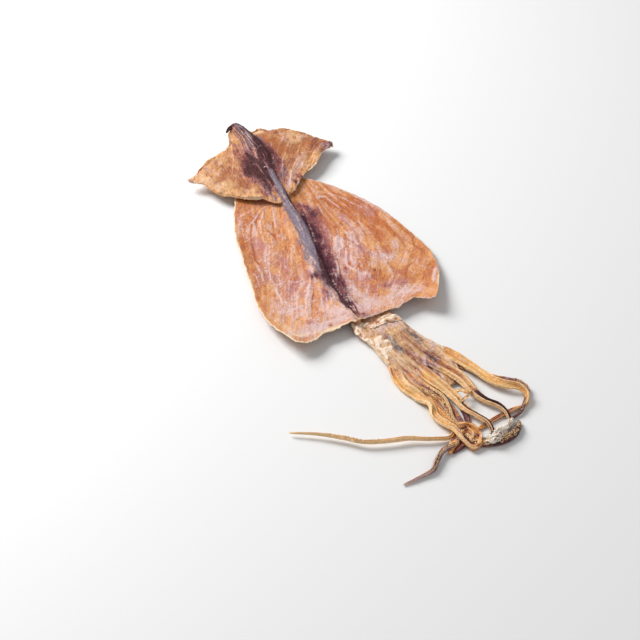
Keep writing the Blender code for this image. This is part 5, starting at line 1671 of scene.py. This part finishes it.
def make_arm(name, seed):
    """An arm with its ridges, and small bumps and fine lengthwise grain on its upper side."""
    rings, share, out, rise, mm = strip_rings(ARMS[name], ARM_ROLL.get(name, NO_ROLL), ARM_AROUND, 2.2,
                                              ARM_RIDGES[name], seed, 0.20, 1.5, ARM_ROOT)
    arm_surfaces[name] = rings
    top = eased(rise * 2)
    bumps = layered(mm, out * 4, (3.0, 2.0), seed + 20)
    fine = layered(mm, out * 8, (9.0, 1.0), seed + 24)
    rings[..., 2] += (ARM_BUMPS * bumps + ARM_GRAIN * fine) * top
    return closed_strips("arm_" + name, rings[None], arm_masks(name, seed, share, out, mm, top, fine))


for number, name in enumerate(ARMS):
    dressed(make_arm(name, 200 + 40 * number), arm_flesh)

# %% [markdown]
# Suckers are little cups in rows along an arm. There are hundreds, so each is only a few
# rings of eight points, and all of one arm's are joined in one mesh by arrays. They sit on the
# arm's own rings, read back from the surface, so they follow every bend and twist.

# %% Suckers
# How far out from the middle each ring lies, and how high, in radii: the outer foot, the cup's
# wall and rim, and then the two rings of the hollow inside it.
CUP = ((0.55, -0.5), (0.95, -0.2), (1.0, 0.25), (0.75, 0.42), (0.45, 0.1), (0.15, -0.05))
CUP_HOLLOW_FROM = 4
CUP_SIDES = 8
# For each arm: first and last share, places across of the rows, spacing and radius in mm.
SUCKER_ROWS = {
    "suckered": (0.4, 0.97, (-0.45, 0.35), 2.3, 1.05),
    "dark": (0.5, 0.88, (-0.35, 0.35), 1.9, 0.8),
    "tendril": (0.66, 0.97, (-0.35, 0.35), 1.7, 0.55),
    "club_stalk": (0.58, 0.97, (-0.1, 0.35, 0.75), 2.2, 1.25),
    "outer_back": (0.55, 0.95, (0, 0.5), 1.9, 0.6),
    "club_ruffle": (0.04, 0.92, (-0.6, -0.1, 0.4, 0.8), 2.6, 1.75),
}
ARMS_WITH_SUCKERS = [name for name in SUCKER_ROWS if name in ARMS]


def make_suckers(name, seed, darkness=0.75):
    """Cups on the arm's upper side: for each, a place on the arm's rings, the outward normal
    there from the ring's own centre, and two directions across it. Their hollows are dark."""
    first, last, places, spacing, radius = SUCKER_ROWS[name]
    rings = arm_surfaces[name]
    draw = np.random.default_rng(seed)
    middles = rings.mean(axis=1)
    mm = running_length(middles)
    along = np.arange(first * mm[-1], last * mm[-1], spacing)
    shake = draw.normal(0, 0.22, (len(along), len(places)))
    along = along[:, None] + spacing * (np.arange(len(places)) / 2 + shake)
    row = np.clip(np.searchsorted(mm, along), 1, len(mm) - 2)
    across = np.broadcast_to(places, row.shape) + draw.normal(0, 0.08, row.shape)
    corner = np.round(np.arccos(np.clip(across, -0.95, 0.95)) / (2 * math.pi) * rings.shape[1]).astype(int)
    spot = rings[row, corner].reshape(-1, 3)
    normal = spot - middles[row.ravel()]
    normal[:, 2] = np.abs(normal[:, 2]) + 0.6
    normal = unit(normal)
    heading = (middles[np.clip(row + 1, 0, len(mm) - 1)] - middles[row - 1]).reshape(-1, 3)
    side = unit(np.cross(heading, normal))
    forward = np.cross(normal, side)
    fade = 1 - 0.5 * ((along.ravel() / mm[-1] - first) / (last - first)) ** 2
    size = radius * fade * draw.uniform(0.75, 1.2, len(spot))
    angle = np.linspace(0, 2 * math.pi, CUP_SIDES, endpoint=False)
    cup = np.array(CUP)
    out = cup[:, 0, None] * (1 + draw.normal(0, 0.10, (len(spot), len(CUP), CUP_SIDES)))
    ring = side[:, None, None] * (out * np.cos(angle))[..., None]
    ring = ring + forward[:, None, None] * (out * np.sin(angle))[..., None]
    ring = ring + normal[:, None, None] * cup[:, 1, None, None]
    points = spot[:, None, None] + size[:, None, None, None] * ring
    points[..., 2] = np.maximum(points[..., 2], STRIP_LOWEST)
    inside = (np.arange(len(CUP)) >= CUP_HOLLOW_FROM)[None, :, None] + np.zeros(points.shape[:3])
    masks = {"plum": darkness * inside, "bloom": 0.4 * (1 - inside), "pale": 0.9 * (1 - inside),
             "warm": 0.3 * inside}
    return closed_strips("suckers_" + name, points, masks)


for number, name in enumerate(ARMS_WITH_SUCKERS):
    dressed(make_suckers(name, 700 + number), arm_flesh)

# %% [markdown]
# Between the arms hang shreds of web, and beside the club lies a white ruffle of torn cups. A
# shred is a thin, strongly crinkled strip, some of them stood on edge by their roll.

# %% Shreds and curls
# For each shred: its stations, its roll, how much its width wanders, and its paint.
SHREDS = {
    "torn_web": (
        ((31, -77.5, 4.6, 1.6, 1), (34.5, -79, 5.6, 2.4, 1), (38, -82, 6, 3, 1.1), (41, -81, 5.6, 1.8, 1)),
        NO_ROLL, 0.5, (0.3, 0.3, 0, 0.6),
    ),
    "torn_web_low": (
        ((29, -87.5, 4.8, 1.4, 1), (33, -86.6, 5.4, 2, 1), (37.5, -84.5, 5.8, 1.6, 0.9)), NO_ROLL, 0.5,
        (0.3, 0.3, 0, 0.6),
    ),
    "curl_outer": (
        (
            (20.5, -104, 3.6, 4.2, 1.1), (25.5, -106, 4.4, 4, 1.1), (28.6, -111, 4.6, 4.2, 1.1),
            (28.4, -117.5, 4, 4.4, 1.1), (24.8, -122.4, 3.2, 4, 1.1), (20.5, -121.4, 2.8, 2.6, 1),
        ),
        ((0, 25), (0.5, 55), (1, 30)), 0.3, (0.55, 0.15, 0.05, 0.2),
    ),
    "curl_inner": (
        (
            (20, -110.5, 3.4, 3, 1), (24, -110, 4.2, 3.2, 1), (25.6, -114, 4.2, 3, 1),
            (23.6, -118, 3.4, 2.4, 1),
        ),
        ((0, 40), (1, 70)), 0.3, (0.65, 0.2, 0.1, 0.2),
    ),
    "yellow_patch": (
        (
            (19, -112.5, 2.2, 3.6, 1.2), (13.5, -114.5, 3.4, 4.6, 1.3), (8.6, -118.2, 3, 4.4, 1.3),
            (6.4, -122, 2, 2.2, 1.1),
        ),
        NO_ROLL, 0.35, (0.75, 0.1, 0.15, 0.2),
    ),
    "club_ruffle": (
        (
            (31, -119, 3.4, 3.4, 1.4), (34, -122.4, 4.6, 5, 1.6), (39, -122.4, 5.4, 5.6, 1.6),
            (44, -119.8, 5.4, 5, 1.6), (50, -115.8, 4.8, 4, 1.5), (54, -112.4, 3.4, 2, 1.2),
        ),
        ((0, 20), (1, 30)), 0.9, (0, 0.1, 0.01, 1.2),
    ),
}
# Only a shred that wanders more than this is frilled, and by so many millimetres for each 1 more.
FRILL_FROM, FRILL = 0.4, 2.6
SHRED_CRINKLE = 1.8


def make_shred(name, stations, roll, wander, paint, seed):
    """A shred lifted by 1.8 wander x crinkle. A frill is noise along all three axes, and both fade
    out at the ends. Its paint is (warm, bloom, plum, pale), shifted by the crinkle: its crests
    paler and powdered as a painted highlight, its hollows warmer and, where it has plum, darker
    as painted shade."""
    ridges = ((0.5, 0.2, 0.5), (-0.3, 0.2, -0.5))
    rings, share, out, rise, mm = strip_rings(stations, roll, 40, 2.2, ridges, seed, wander, 0.8)
    crinkle = layered(rings[..., 0] + out, rings[..., 1], 2.4, seed + 1)
    frill = np.stack([layered(mm, out * 5 + rise * 3, 1.5, seed + 2 + axis) for axis in range(3)], axis=-1)
    frilled = max(wander - FRILL_FROM, 0)
    start, end = eased(share * 5), eased((1 - share) * 5)
    rings[..., 2] += SHRED_CRINKLE * wander * crinkle * start * end
    rings += FRILL * frilled * frill * start[..., None] * end[..., None]
    crinkle = crinkle + 2 * frilled * frill[..., 2]
    rings[..., 2] = np.maximum(rings[..., 2], STRIP_LOWEST)
    warm, bloom, plum, pale = paint
    masks = {
        "warm": kept(warm - 0.6 * crinkle), "bloom": kept(bloom + 0.5 * crinkle),
        "plum": kept(plum - 1.2 * crinkle) * (plum > 0), "pale": kept(pale * (1 + crinkle)),
    }
    arm_surfaces[name] = rings
    return closed_strips(name, rings[None], masks)


ruffle_skin = dried_flesh("ruffle_skin", (0.97, 0.74, 0.50, 1.0), (0.62, 0.30, 0.12, 1.0), PLUM, SLATE,
                          fibre_tint=0.3, pale=(1.0, 0.90, 0.78, 1.0))
for number, (name, shred) in enumerate(SHREDS.items()):
    dressed(make_shred(name, *shred, 800 + 10 * number), ruffle_skin if name == "club_ruffle" else arm_flesh)
dressed(make_suckers("club_ruffle", 720, 0.3), ruffle_skin)

# %% [markdown]
# The floor is a plain pale square just under the squid. It isn't part of the object.

# %% Floor
FLOOR_HALF, FLOOR_DROP = 3.0, -0.0002
corners = [(x * FLOOR_HALF, y * FLOOR_HALF, FLOOR_DROP) for x, y in ((-1, -1), (1, -1), (1, 1), (-1, 1))]
floor_mesh = bpy.data.meshes.new("floor")
floor_mesh.from_pydata(corners, [], [(0, 1, 2, 3)])
floor = bpy.data.objects.new("floor", floor_mesh)
bpy.context.scene.collection.objects.link(floor)
floor_paint = bpy.data.materials.new("floor_paint")
floor_paint.use_nodes = True
floor_shader = floor_paint.node_tree.nodes["Principled BSDF"]
floor_shader.inputs["Base Color"].default_value = (0.80, 0.80, 0.80, 1.0)
floor_shader.inputs["Roughness"].default_value = 0.6
floor_mesh.materials.append(floor_paint)
print("floor laid")
